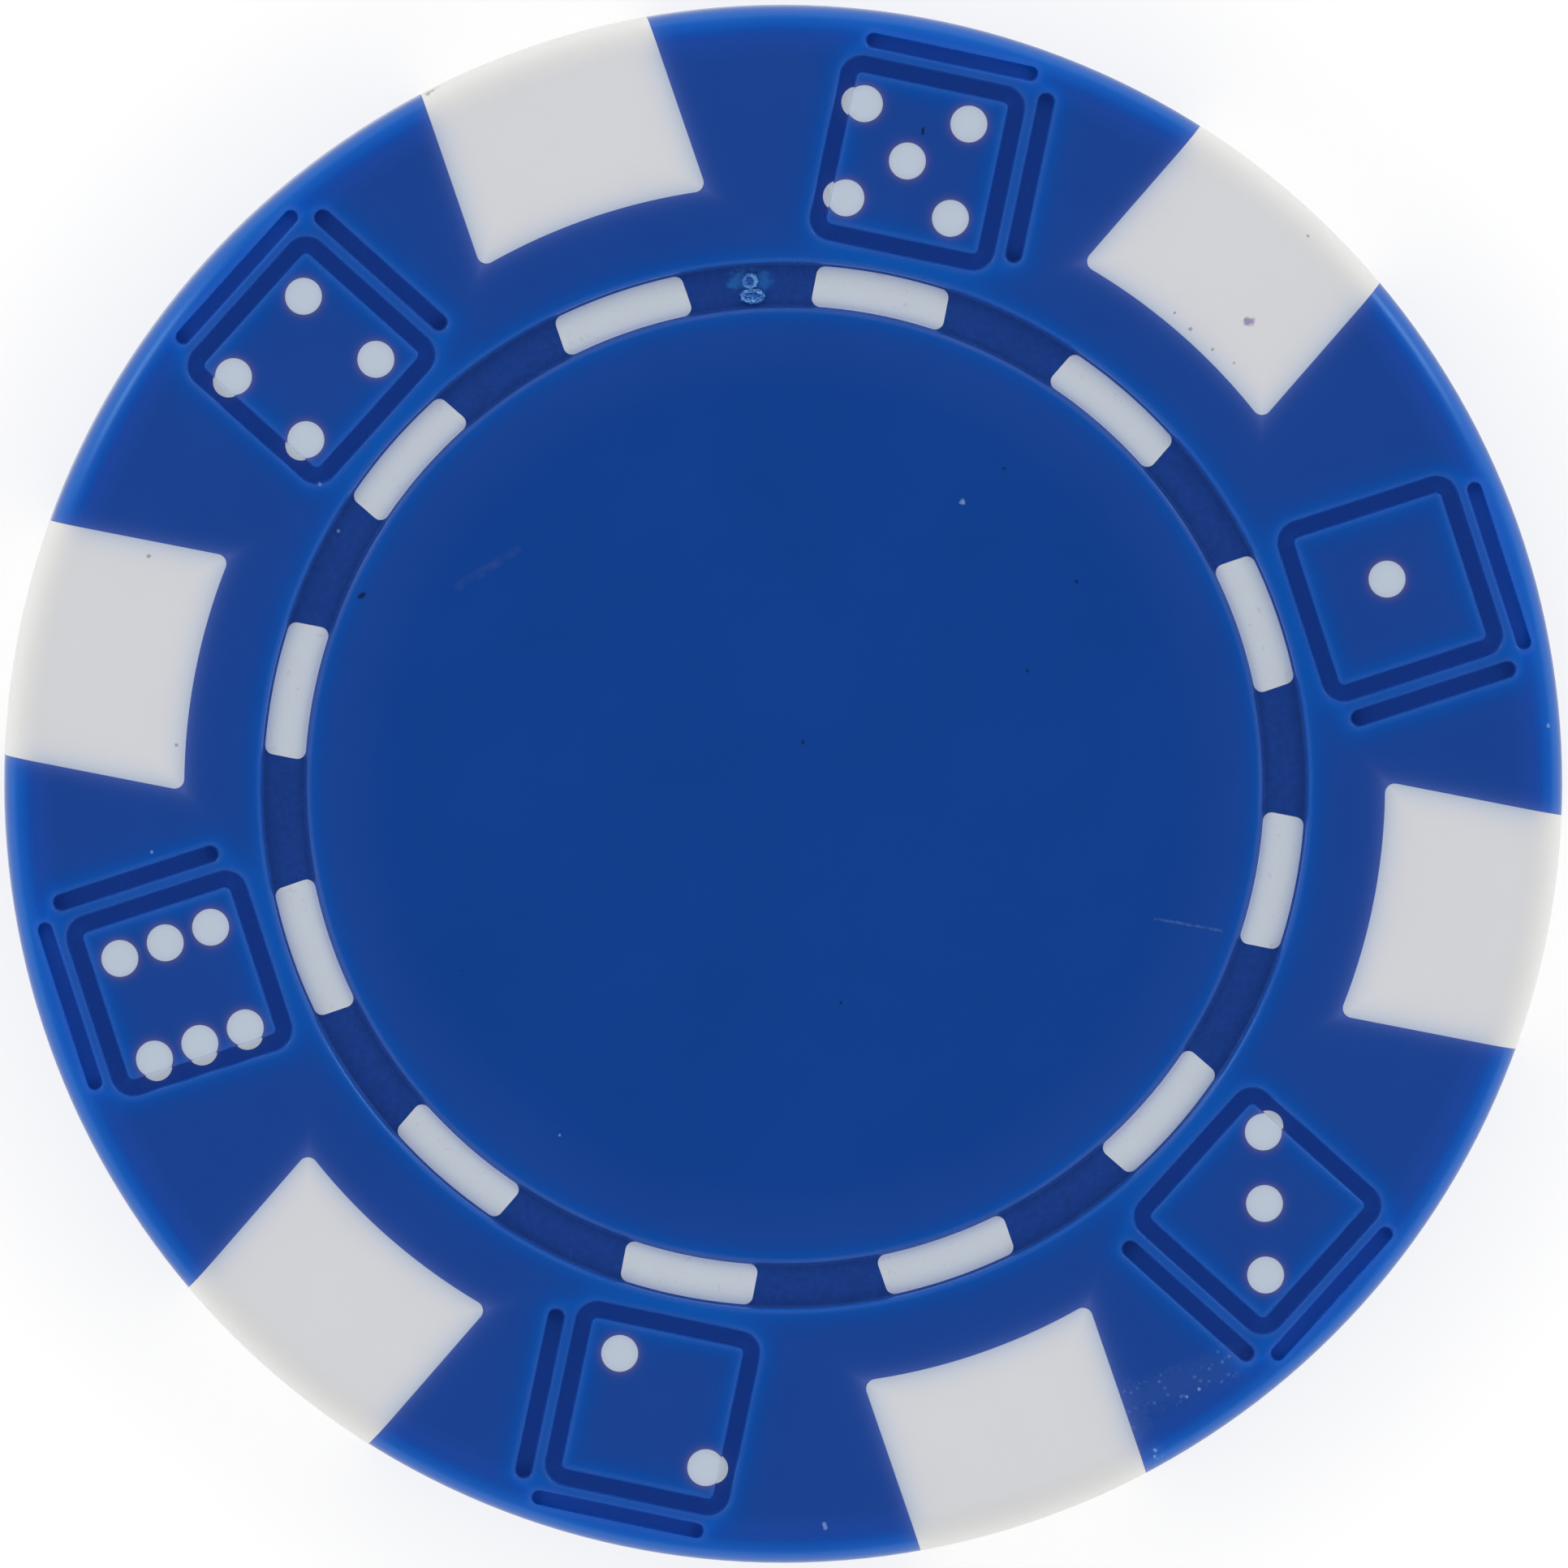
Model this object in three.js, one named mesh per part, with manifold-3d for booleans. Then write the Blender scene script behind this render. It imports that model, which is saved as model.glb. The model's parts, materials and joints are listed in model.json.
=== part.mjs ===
// A two-colour moulded chip with dice round its face, carried as a golf ball marker.
// A steel slug is wrapped in a white core, and a blue jacket is moulded over the core.
// The white shows through the jacket as edge spots, ring dashes and die pips, on both faces.
// Millimetres, +Z up, origin at the middle of the face that the chip lies on.

import * as THREE from "three";
import { mergeVertices } from "three/addons/utils/BufferGeometryUtils.js";
import Module from "manifold-3d";

const wasm = await Module();
wasm.setup();

// Driving dimensions of the whole chip, in millimetres
const chipDiameter = 40;
const rimRadius = 0.95;
const moldGap = 0.03;

// Layers from the middle outwards
const slugThickness = 1.5;
const coreSkin = 0.35;
const jacketSkin = 0.49;

// Slug in its core
const coreWall = 3.4;
const supportPinDiameter = 2;
const supportPinCircle = 16;
const supportPinCount = 3;

// Ring groove and its dashes, with the seat for a label inside the ring
const faceBand = 6.57;
const ringWidth = 1.15;
const ringDepth = 0.3;
const labelRecess = 0.12;
const dashInset = 0.05;
const dashLength = 3.44;
const dashCorner = 0.22;
const dashCount = 12;

// Gate scar that the blue shot leaves in the ring groove of the upper face
const gateDiameter = 0.6;
const gateHeight = 0.1;
const gateAngle = 93.7;

// Edge spots
const spotWidth = 6.12;
const spotReach = 4.6;
const spotCorner = 0.25;
const spotCount = 6;

// Dice: an outline groove with a bar outside it and a bar on its clockwise side
const dieInset = 3.67;
const dieSide = 3.97;
const dieInnerCorner = 0.18;
const dieOuterCorner = 0.56;
const dieGroove = 0.4;
const dieDepth = 0.25;
const barGap = 0.3;
const barLength = 4.47;
const barShift = 0.26;
const dieAngle = 18;

// Pips, and the turn by which the core sat askew in the jacket's mould
const pipDiameter = 0.95;
const pipPitchAcross = 1.365;
const pipPitchOut = 1.23;
const postDraft = 28;
const postLand = 0.08;
const coreTurn = 0.92;

// Facets of round forms
const roundSteps = 72;
const rimSteps = 3;
const barEndSteps = 4;
const softCornerSteps = 2;
const sharpCornerSteps = 1;
const dashArcSteps = 2;
const spotArcSteps = 4;
const postSides = 8;
const pinSides = 8;
const overrun = 0.5;

// Derived sizes
const chipRadius = chipDiameter / 2;
const slugHalf = slugThickness / 2;
const pocketHalf = slugHalf + moldGap;
const coreHalf = pocketHalf + coreSkin;
const chipHalf = coreHalf + moldGap + jacketSkin;
const ringOuter = chipRadius - faceBand;
const ringInner = ringOuter - ringWidth;
const dieCentre = chipRadius - dieInset;
const postSpread = Math.tan(THREE.MathUtils.degToRad(postDraft));
const postFoot = pipDiameter / 2 + (chipHalf - coreHalf) * postSpread;
const coreRadius = Math.hypot(dieCentre + pipPitchOut, pipPitchAcross) + postFoot + postLand;
const slugRadius = coreRadius - coreWall - moldGap;
const dieTurn = 360 / spotCount;
const firstDie = dieAngle + coreTurn;
const firstSpot = firstDie + dieTurn / 2;

// Pip places on each face of the dice, in steps across and outwards, counterclockwise round the chip
const corners = [[-1, -1], [-1, 1], [1, -1], [1, 1]];
const centre = [0, 0];
const dieFaces = [
  [centre],
  [...corners, centre],
  corners,
  [...corners, [-1, 0], [1, 0]],
  [[1, -1], [-1, 1]],
  [[-1, -1], centre, [1, 1]],
];

// A closed solid from a geometry
function solid(geometry) {
  const bare = geometry.clone();
  bare.deleteAttribute("normal");
  bare.deleteAttribute("uv");
  const merged = mergeVertices(bare);
  return new wasm.Manifold(
    new wasm.Mesh({
      numProp: 3,
      vertProperties: new Float32Array(merged.attributes.position.array),
      triVerts: new Uint32Array(merged.index.array),
    }),
  );
}

// One solid joined from many geometries
function joined(geometries) {
  return geometries.map(solid).reduce((whole, next) => whole.add(next));
}

// A named mesh from a solid
function meshOf(name, shape, material) {
  const made = shape.getMesh();
  const geometry = new THREE.BufferGeometry();
  geometry.setAttribute("position", new THREE.BufferAttribute(made.vertProperties, 3));
  geometry.setIndex(new THREE.BufferAttribute(made.triVerts, 1));
  const mesh = new THREE.Mesh(geometry, material);
  mesh.name = name;
  return mesh;
}

// A prism of an outline between two heights
function prism(outline, low, high) {
  const settings = { depth: high - low, bevelEnabled: false };
  return new THREE.ExtrudeGeometry(outline, settings).translate(0, 0, low);
}

// Points along an arc, from one angle to another, with both ends
function arc(x, y, radius, from, to, steps) {
  const points = [];
  for (let step = 0; step <= steps; step += 1) {
    const angle = from + ((to - from) * step) / steps;
    points.push(new THREE.Vector2(x + radius * Math.cos(angle), y + radius * Math.sin(angle)));
  }
  return points;
}

// The points of a long arc round the chip's axis that lie between two corners
function arcBetween(radius, from, to, steps) {
  return arc(0, 0, radius, from, to, steps).slice(1, -1);
}

// An upright round bar, tapered where its two diameters differ
function roundBar(lowRadius, highRadius, low, high, sides) {
  const geometry = new THREE.CylinderGeometry(highRadius, lowRadius, high - low, sides);
  return geometry.rotateX(Math.PI / 2).translate(0, 0, (low + high) / 2);
}

// Turns a shape drawn with +Y outwards to its angle round the chip
function atAngle(geometry, degrees) {
  return geometry.clone().rotateZ(THREE.MathUtils.degToRad(degrees - 90));
}

// The same features on the lower face: the chip turned over about the axis through its first edge spot
function bothFaces(geometries) {
  const turn = THREE.MathUtils.degToRad(firstSpot);
  const axis = new THREE.Vector3(Math.cos(turn), Math.sin(turn), 0);
  const over = new THREE.Matrix4().makeRotationAxis(axis, Math.PI);
  return [...geometries, ...geometries.map((geometry) => geometry.clone().applyMatrix4(over))];
}

// Chip body by turning its section: rim, ring grooves and label seats on both faces
function turnedBody() {
  const upper = [];
  for (let step = 0; step <= rimSteps; step += 1) {
    const angle = (Math.PI / 2) * (step / rimSteps);
    const radius = chipRadius - rimRadius * (1 - Math.cos(angle));
    upper.push([radius, chipHalf - rimRadius * (1 - Math.sin(angle))]);
  }
  upper.push([ringOuter, chipHalf]);
  upper.push([ringOuter, chipHalf - ringDepth]);
  upper.push([ringInner, chipHalf - ringDepth]);
  upper.push([ringInner, chipHalf - labelRecess]);
  upper.push([0, chipHalf - labelRecess]);
  const lower = upper.map(([radius, height]) => [radius, -height]).reverse();
  const section = [...lower, ...upper].map(([radius, height]) => new THREE.Vector2(radius, height));
  return new THREE.LatheGeometry(section, roundSteps).rotateX(Math.PI / 2);
}

// A square with round corners, on the die's place
function dieSquare(half, corner, steps) {
  const reach = half - corner;
  const points = [];
  for (const quarter of [0, 1, 2, 3]) {
    const from = (quarter * Math.PI) / 2;
    const x = quarter === 0 || quarter === 3 ? reach : -reach;
    const y = quarter < 2 ? reach : -reach;
    points.push(...arc(x, dieCentre + y, corner, from, from + Math.PI / 2, steps));
  }
  return points;
}

// A bar with round ends, drawn along +X about the origin
function barOutline() {
  const half = dieGroove / 2;
  const reach = barLength / 2 - half;
  return [
    ...arc(reach, 0, half, -Math.PI / 2, Math.PI / 2, barEndSteps),
    ...arc(-reach, 0, half, Math.PI / 2, Math.PI * 1.5, barEndSteps),
  ];
}

// Grooves of one die: the outline and its two bars
function dieGrooves() {
  const innerHalf = dieSide / 2;
  const outerHalf = innerHalf + dieGroove;
  const outline = new THREE.Shape(dieSquare(outerHalf, dieOuterCorner, softCornerSteps));
  outline.holes.push(new THREE.Path(dieSquare(innerHalf, dieInnerCorner, sharpCornerSteps)));
  const floor = chipHalf - dieDepth;
  const ceiling = chipHalf + overrun;
  const bar = prism(new THREE.Shape(barOutline()), floor, ceiling);
  const barOffset = outerHalf + barGap + dieGroove / 2;
  const outerBar = bar.clone().translate(barShift, dieCentre + barOffset, 0);
  const sideBar = bar.clone().rotateZ(Math.PI / 2).translate(barOffset, dieCentre + barShift, 0);
  return [prism(outline, floor, ceiling), outerBar, sideBar];
}

// Edge spot seen from above: straight sides, an inner end concentric with the chip, rounded inner corners
function spotOutline(gap) {
  const half = spotWidth / 2 + gap;
  const inner = chipRadius - spotReach - gap;
  const corner = spotCorner + gap;
  const cornerX = half - corner;
  const cornerY = Math.sqrt((inner + corner) ** 2 - cornerX ** 2);
  const lean = Math.atan2(cornerX, cornerY);
  const outer = chipRadius + overrun;
  return new THREE.Shape([
    new THREE.Vector2(half, outer),
    new THREE.Vector2(-half, outer),
    ...arc(-cornerX, cornerY, corner, Math.PI, Math.PI * 1.5 + lean, softCornerSteps),
    ...arcBetween(inner, Math.PI / 2 + lean, Math.PI / 2 - lean, spotArcSteps),
    ...arc(cornerX, cornerY, corner, Math.PI * 1.5 - lean, Math.PI * 2, softCornerSteps),
  ]);
}

// Ring dash seen from above: concentric sides, straight ends, rounded corners
function dashOutline(gap) {
  const half = dashLength / 2 + gap;
  const inner = ringInner + dashInset - gap;
  const outer = ringOuter - dashInset + gap;
  const corner = dashCorner + gap;
  const cornerX = half - corner;
  const lowY = Math.sqrt((inner + corner) ** 2 - cornerX ** 2);
  const highY = Math.sqrt((outer - corner) ** 2 - cornerX ** 2);
  const lowLean = Math.atan2(cornerX, lowY);
  const highLean = Math.atan2(cornerX, highY);
  return new THREE.Shape([
    ...arc(cornerX, highY, corner, 0, Math.PI / 2 - highLean, sharpCornerSteps),
    ...arcBetween(outer, Math.PI / 2 - highLean, Math.PI / 2 + highLean, dashArcSteps),
    ...arc(-cornerX, highY, corner, Math.PI / 2 + highLean, Math.PI, sharpCornerSteps),
    ...arc(-cornerX, lowY, corner, Math.PI, Math.PI * 1.5 + lowLean, sharpCornerSteps),
    ...arcBetween(inner, Math.PI / 2 + lowLean, Math.PI / 2 - lowLean, dashArcSteps),
    ...arc(cornerX, lowY, corner, Math.PI * 1.5 - lowLean, Math.PI * 2, sharpCornerSteps),
  ]);
}

// Tapered post under one pip, standing on the core and passing the face
function pipPost([across, out], gap) {
  const low = coreHalf - coreSkin / 2;
  const high = chipHalf + overrun / 2;
  const radiusAt = (height) => pipDiameter / 2 + gap + (chipHalf - height) * postSpread;
  const post = roundBar(radiusAt(low), radiusAt(high), low, high, postSides);
  return post.translate(across * pipPitchAcross, dieCentre + out * pipPitchOut, 0);
}

// All of the white before the faces trim it, grown by a gap where it cuts its own window
function whiteStock(gap) {
  const disc = roundBar(coreRadius + gap, coreRadius + gap, -coreHalf - gap, coreHalf + gap, roundSteps);
  const spot = prism(spotOutline(gap), -chipHalf - overrun, chipHalf + overrun);
  const dash = prism(dashOutline(gap), pocketHalf, chipHalf + overrun);
  const pieces = [disc];
  for (let index = 0; index < spotCount; index += 1) {
    pieces.push(atAngle(spot, firstSpot + index * dieTurn));
  }
  const islands = [];
  for (let index = 0; index < dashCount; index += 1) {
    islands.push(atAngle(dash, firstDie + (index * 360) / dashCount));
  }
  dieFaces.forEach((places, index) => {
    for (const place of places) {
      islands.push(atAngle(pipPost(place, gap), firstDie + index * dieTurn));
    }
  });
  return joined([...pieces, ...bothFaces(islands)]);
}

// Round bars where the mould's pins held the slug, above and below it
function pinBars(radius, low, high) {
  const pin = roundBar(radius, radius, low, high, pinSides).translate(0, supportPinCircle / 2, 0);
  const bars = [];
  for (let index = 0; index < supportPinCount; index += 1) {
    bars.push(atAngle(pin, firstSpot + (index * 360) / supportPinCount));
  }
  return bothFaces(bars);
}

// Gate scar standing in the ring groove
function gateScar() {
  const floor = chipHalf - ringDepth;
  const scar = roundBar(gateDiameter / 2, gateDiameter / 2, floor - gateHeight, floor + gateHeight, pinSides);
  return atAngle(scar.translate(0, (ringInner + ringOuter) / 2, 0), gateAngle);
}

// Outer form of the finished chip, with every groove cut
function chipForm() {
  const die = dieGrooves();
  const grooves = [];
  for (let index = 0; index < dieFaces.length; index += 1) {
    grooves.push(...die.map((groove) => atAngle(groove, dieAngle + index * dieTurn)));
  }
  return solid(turnedBody()).subtract(joined(bothFaces(grooves)));
}

const form = chipForm();
const slug = solid(roundBar(slugRadius, slugRadius, -slugHalf, slugHalf, roundSteps));

const pocketRadius = slugRadius + moldGap;
const pocket = roundBar(pocketRadius, pocketRadius, -pocketHalf, pocketHalf, roundSteps);
const pinRadius = supportPinDiameter / 2;
const pinHoles = pinBars(pinRadius, slugHalf, coreHalf + moldGap / 2);
const core = whiteStock(0).intersect(form).subtract(joined([pocket, ...pinHoles]));

const plugs = pinBars(pinRadius - moldGap, pocketHalf, chipHalf - jacketSkin / 2);
const jacket = form.subtract(whiteStock(moldGap)).add(joined([...plugs, gateScar()]));

const steel = new THREE.MeshStandardMaterial({ color: 0x9a9da1, roughness: 0.35, metalness: 1 });
const white = new THREE.MeshStandardMaterial({ color: 0xd0d0d4, roughness: 0.45, metalness: 0 });
const blue = new THREE.MeshStandardMaterial({ color: 0x1b418f, roughness: 0.4, metalness: 0 });

// The solids are centred on the chip's mid-plane, and the group stands them on the lower face
const chip = new THREE.Group();
chip.add(meshOf("steel_slug", slug, steel));
chip.add(meshOf("white_core", core, white));
chip.add(meshOf("blue_jacket", jacket, blue));
chip.position.z = chipHalf;

export default chip;
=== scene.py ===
# %% [markdown]
# # A two-colour dice chip
# The chip is a steel slug in a white core, with a blue jacket moulded over the core. This lesson models
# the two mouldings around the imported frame, in the order a mould maker would think of them: the outer
# form with its grooves, the white stock that shows through it, and then one cut that shares the form
# between blue and white. Lengths are in millimetres until a piece is finished.

# %% Frame and overall sizes
import json
import math

import bmesh
import bpy
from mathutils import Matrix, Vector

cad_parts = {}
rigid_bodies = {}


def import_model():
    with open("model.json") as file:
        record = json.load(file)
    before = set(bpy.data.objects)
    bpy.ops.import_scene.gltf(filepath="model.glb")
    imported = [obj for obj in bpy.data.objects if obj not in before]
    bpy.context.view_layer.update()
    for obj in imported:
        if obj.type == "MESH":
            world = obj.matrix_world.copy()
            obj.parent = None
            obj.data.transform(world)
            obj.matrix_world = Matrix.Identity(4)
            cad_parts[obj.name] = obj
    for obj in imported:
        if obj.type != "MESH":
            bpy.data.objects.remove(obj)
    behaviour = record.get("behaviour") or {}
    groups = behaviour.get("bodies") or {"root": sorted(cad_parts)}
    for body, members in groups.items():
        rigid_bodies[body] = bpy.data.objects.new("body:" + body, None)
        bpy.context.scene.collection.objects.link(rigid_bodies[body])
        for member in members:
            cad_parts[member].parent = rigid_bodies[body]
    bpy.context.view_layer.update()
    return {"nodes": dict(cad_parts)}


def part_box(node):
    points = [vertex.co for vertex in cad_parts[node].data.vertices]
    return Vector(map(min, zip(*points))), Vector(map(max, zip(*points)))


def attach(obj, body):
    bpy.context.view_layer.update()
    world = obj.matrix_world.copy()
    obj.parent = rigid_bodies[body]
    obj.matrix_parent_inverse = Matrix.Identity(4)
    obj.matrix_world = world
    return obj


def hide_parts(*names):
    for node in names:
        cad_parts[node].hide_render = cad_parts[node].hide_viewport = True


for spare in list(bpy.data.objects):
    bpy.data.objects.remove(spare)

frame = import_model()
MM = 0.001
jacket_low, jacket_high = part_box("blue_jacket")
CHIP_RADIUS = (jacket_high.x - jacket_low.x) / 2 / MM
THICKNESS = (jacket_high.z - jacket_low.z) / MM
MIDDLE = THICKNESS / 2
print(f"chip {2 * CHIP_RADIUS:.2f} mm across, {THICKNESS:.2f} mm thick")

# %% [markdown]
# ## Helpers for working by hand
# Operators act on what is selected, so each step first selects one object, or picks vertices by place.
# A boolean modifier that is applied at once is the saw and the glue of this lesson.

# %% Selecting, cutting and copying
MERGE = 0.0005


def select_only(obj):
    bpy.ops.object.select_all(action="DESELECT")
    obj.select_set(True)
    bpy.context.view_layer.objects.active = obj


def begin_edit(obj, kind="VERT"):
    select_only(obj)
    bpy.ops.object.mode_set(mode="EDIT")
    bpy.ops.mesh.select_mode(type=kind)
    bpy.ops.mesh.select_all(action="SELECT")


def end_edit():
    bpy.ops.mesh.select_all(action="SELECT")
    bpy.ops.mesh.remove_doubles(threshold=MERGE)
    bpy.ops.mesh.normals_make_consistent(inside=False)
    bpy.ops.object.mode_set(mode="OBJECT")


def report(obj):
    """Prints a mesh's size; a closed mesh has no edge without exactly two faces."""
    mesh = bmesh.new()
    mesh.from_mesh(obj.data)
    loose = sum(len(edge.link_faces) != 2 for edge in mesh.edges)
    triangles = sum(len(face.verts) - 2 for face in mesh.faces)
    print(f"{obj.name}: {triangles} triangles, {loose} open edges, volume {mesh.calc_volume():.4g}")
    mesh.free()
    return obj


def settle(obj):
    """Puts an object's place, turn and scale into its mesh."""
    select_only(obj)
    bpy.ops.object.transform_apply(location=True, rotation=True, scale=True)
    return obj


def duplicate(obj, name):
    select_only(obj)
    bpy.ops.object.duplicate()
    copy = bpy.context.object
    copy.name = name
    return copy


def join(objects, name):
    bpy.ops.object.select_all(action="DESELECT")
    for obj in objects:
        obj.select_set(True)
    bpy.context.view_layer.objects.active = objects[0]
    bpy.ops.object.join()
    objects[0].name = name
    return objects[0]


def carve(target, tool, operation):
    """Applies one boolean and throws the tool away."""
    select_only(target)
    bpy.ops.object.modifier_add(type="BOOLEAN")
    saw = target.modifiers[-1]
    saw.operation = operation
    saw.object = tool
    saw.solver = "EXACT"
    bpy.ops.object.modifier_apply(modifier=saw.name)
    bpy.data.objects.remove(tool)
    return target


def round_chip(source, angles, name):
    """Copies a shape drawn with +Y outwards to each angle round the chip, counterclockwise from +X."""
    copies = []
    for angle in angles:
        copy = duplicate(source, name)
        copy.rotation_euler.z = math.radians(angle - 90)
        copies.append(settle(copy))
    bpy.data.objects.remove(source)
    return join(copies, name)


def both_faces(upper, name):
    """Adds the same shape on the lower face: the chip turned over about the axis through its first spot."""
    lower = duplicate(upper, name)
    lower.rotation_euler = (math.pi, 0, math.radians(2 * FIRST_SPOT))
    lower.location.z = THICKNESS
    return join([upper, settle(lower)], name)


# %% [markdown]
# ## The turned form
# Rim, ring groove and label seat are the same all the way round, so they come from one section that is
# spun. The section is drawn as a chain of corners, extruded point by point from a single vertex, and
# each corner is then rounded with a vertex bevel. That keeps each radius a number of its own.

# %% Section of the chip, spun
SPIN_STEPS = 240
RIM_RADIUS = 0.95
EDGE_ROUND = 0.12
SEAT_ROUND = 0.096
FLOOR_ROUND = 0.05
RIM_STEPS = 14
EDGE_STEPS = 5
FLOOR_STEPS = 3
WALL_LEAN = 0.03
RING_INNER = 12.28
RING_OUTER = 13.43
RING_DEPTH = 0.3
LABEL_DROP = 0.12
SAME_PLACE = 1e-4


def section_corners():
    """Corners of the upper half section as radius, height, rounding and bevel steps."""
    face = THICKNESS
    floor = face - RING_DEPTH
    label = face - LABEL_DROP
    return [
        (0, label, 0, 0),
        (RING_INNER - WALL_LEAN, label, SEAT_ROUND, EDGE_STEPS),
        (RING_INNER + WALL_LEAN, floor, FLOOR_ROUND, FLOOR_STEPS),
        (RING_OUTER - WALL_LEAN, floor, FLOOR_ROUND, FLOOR_STEPS),
        (RING_OUTER + WALL_LEAN, face, EDGE_ROUND, EDGE_STEPS),
        (CHIP_RADIUS, face, RIM_RADIUS, RIM_STEPS),
    ]


def round_vertices(offset, steps):
    bpy.ops.mesh.bevel(offset=offset, segments=steps, profile=0.5, affect="VERTICES", clamp_overlap=False)


def bevel_corner(obj, radius, height, offset, steps):
    mesh = bmesh.from_edit_mesh(obj.data)
    for vertex in mesh.verts:
        gap = math.hypot(vertex.co.x - radius, vertex.co.z - height)
        vertex.select = gap < SAME_PLACE
    mesh.select_flush_mode()
    bmesh.update_edit_mesh(obj.data)
    round_vertices(offset, steps)


def spun_form(name):
    upper = section_corners()
    lower = [(radius, THICKNESS - height, offset, steps) for radius, height, offset, steps in upper]
    chain = upper + lower[::-1]
    bpy.ops.mesh.primitive_plane_add(size=1, location=(chain[0][0], 0, chain[0][1]))
    form = bpy.context.object
    form.name = name
    settle(form)
    begin_edit(form)
    bpy.ops.mesh.merge(type="CENTER")
    for here, there in zip(chain, chain[1:]):
        step = (there[0] - here[0], 0, there[1] - here[1])
        bpy.ops.mesh.extrude_vertices_move(TRANSFORM_OT_translate={"value": step})
    for radius, height, offset, steps in chain:
        if offset:
            bevel_corner(form, radius, height, offset, steps)
    bpy.ops.mesh.select_all(action="SELECT")
    bpy.ops.mesh.spin(steps=SPIN_STEPS, angle=math.tau, center=(0, 0, 0), axis=(0, 0, 1))
    end_edit()
    return report(form)


# %% [markdown]
# ## Grooves of the dice
# Each die is a square outline with one bar outside it and one on its clockwise side, pressed into the
# face by ribs in the mould. A rib has soft shoulders, a leaning wall and a round foot, so the cutter is
# a flat outline that is inset again and again with a little depth: a trough. A lid closes it.

# %% Trough steps
DIE_INSET = 3.67
DIE_CENTRE = CHIP_RADIUS - DIE_INSET
DIE_HALF = 2.2
DIE_CORNER = 0.36
GROOVE_HALF = 0.21
GROOVE_DEPTH = 0.25
TROUGH_SPREAD = 0.1
TROUGH_LIFT = 0.004
TROUGH_SHOULDER = [0, 25, 45, 65, 82]
TROUGH_WALL = 0.012
TROUGH_FOOT = [(0.003, 0.012), (0.008, 0.008), (0.012, 0.003)]
CORNER_STEPS = 10
LID_LIFT = 0.3
OUTER_BAR = {"offset": 2.845, "shift": 0.31, "half_length": 2.25, "half_width": 0.19}
SIDE_BAR = {"offset": 2.91, "shift": 0.225, "half_length": 2.215, "half_width": 0.21}
DICE = 6
DIE_TURN = 18
DIE_STEP = 360 / DICE
CORE_TURN = 0.92
FIRST_DIE = DIE_TURN + CORE_TURN
FIRST_SPOT = FIRST_DIE + DIE_STEP / 2
DIE_ANGLES = [DIE_TURN + DIE_STEP * index for index in range(DICE)]


def trough_steps():
    """Pairs of inset and drop from the lip down to the floor: shoulder, leaning wall, round foot."""
    pairs = []
    for first, second in zip(TROUGH_SHOULDER, TROUGH_SHOULDER[1:]):
        lean = [math.radians(angle) for angle in (first, second)]
        across = TROUGH_SPREAD * (math.sin(lean[1]) - math.sin(lean[0]))
        drop = TROUGH_SPREAD * (math.cos(lean[0]) - math.cos(lean[1]))
        pairs.append((across, drop))
    used = sum(drop for across, drop in pairs + TROUGH_FOOT)
    pairs.append((TROUGH_WALL, GROOVE_DEPTH + TROUGH_LIFT - used))
    return pairs + TROUGH_FOOT


def dig_trough():
    """Insets the selected faces down the trough's steps, then closes the lip with a lid above the face."""
    for across, drop in trough_steps():
        bpy.ops.mesh.inset(thickness=across, depth=-drop, use_boundary=True, use_even_offset=True)
    bpy.ops.mesh.select_mode(type="EDGE")
    bpy.ops.mesh.select_all(action="DESELECT")
    bpy.ops.mesh.select_non_manifold(extend=False, use_wire=False, use_multi_face=False,
                                     use_non_contiguous=False, use_verts=False)
    bpy.ops.mesh.extrude_region_move(TRANSFORM_OT_translate={"value": (0, 0, LID_LIFT)})


def flat_plate(name, half_x, half_y, corner, centre_x, centre_y):
    """A plate with rounded corners just above the upper face, in edit mode with its face selected."""
    bpy.ops.mesh.primitive_plane_add(size=2, location=(centre_x, centre_y, THICKNESS + TROUGH_LIFT))
    plate = bpy.context.object
    plate.name = name
    plate.scale = (half_x, half_y, 1)
    settle(plate)
    begin_edit(plate)
    round_vertices(corner, CORNER_STEPS)
    bpy.ops.mesh.select_all(action="SELECT")
    bpy.ops.mesh.remove_doubles(threshold=MERGE)
    bpy.ops.mesh.select_mode(type="FACE")
    bpy.ops.mesh.select_all(action="SELECT")
    return plate


# %% Cutters of one die, then of both faces
def outline_cutter():
    lip = GROOVE_HALF + TROUGH_SPREAD
    half = DIE_HALF + lip
    cutter = flat_plate("die_outline", half, half, DIE_CORNER + lip, 0, DIE_CENTRE)
    bpy.ops.mesh.inset(thickness=2 * lip, depth=0, use_even_offset=True)
    bpy.ops.mesh.delete(type="FACE")
    bpy.ops.mesh.select_all(action="SELECT")
    dig_trough()
    bpy.ops.mesh.bridge_edge_loops()
    end_edit()
    return report(cutter)


def bar_cutter(name, bar, outwards):
    """A straight groove beside the die; it runs outwards, or across the way out."""
    lip = bar["half_width"] + TROUGH_SPREAD
    reach = bar["half_length"] + TROUGH_SPREAD
    if outwards:
        cutter = flat_plate(name, lip, reach, lip, bar["offset"], DIE_CENTRE + bar["shift"])
    else:
        cutter = flat_plate(name, reach, lip, lip, bar["shift"], DIE_CENTRE + bar["offset"])
    dig_trough()
    bpy.ops.mesh.edge_face_add()
    end_edit()
    return report(cutter)


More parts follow.
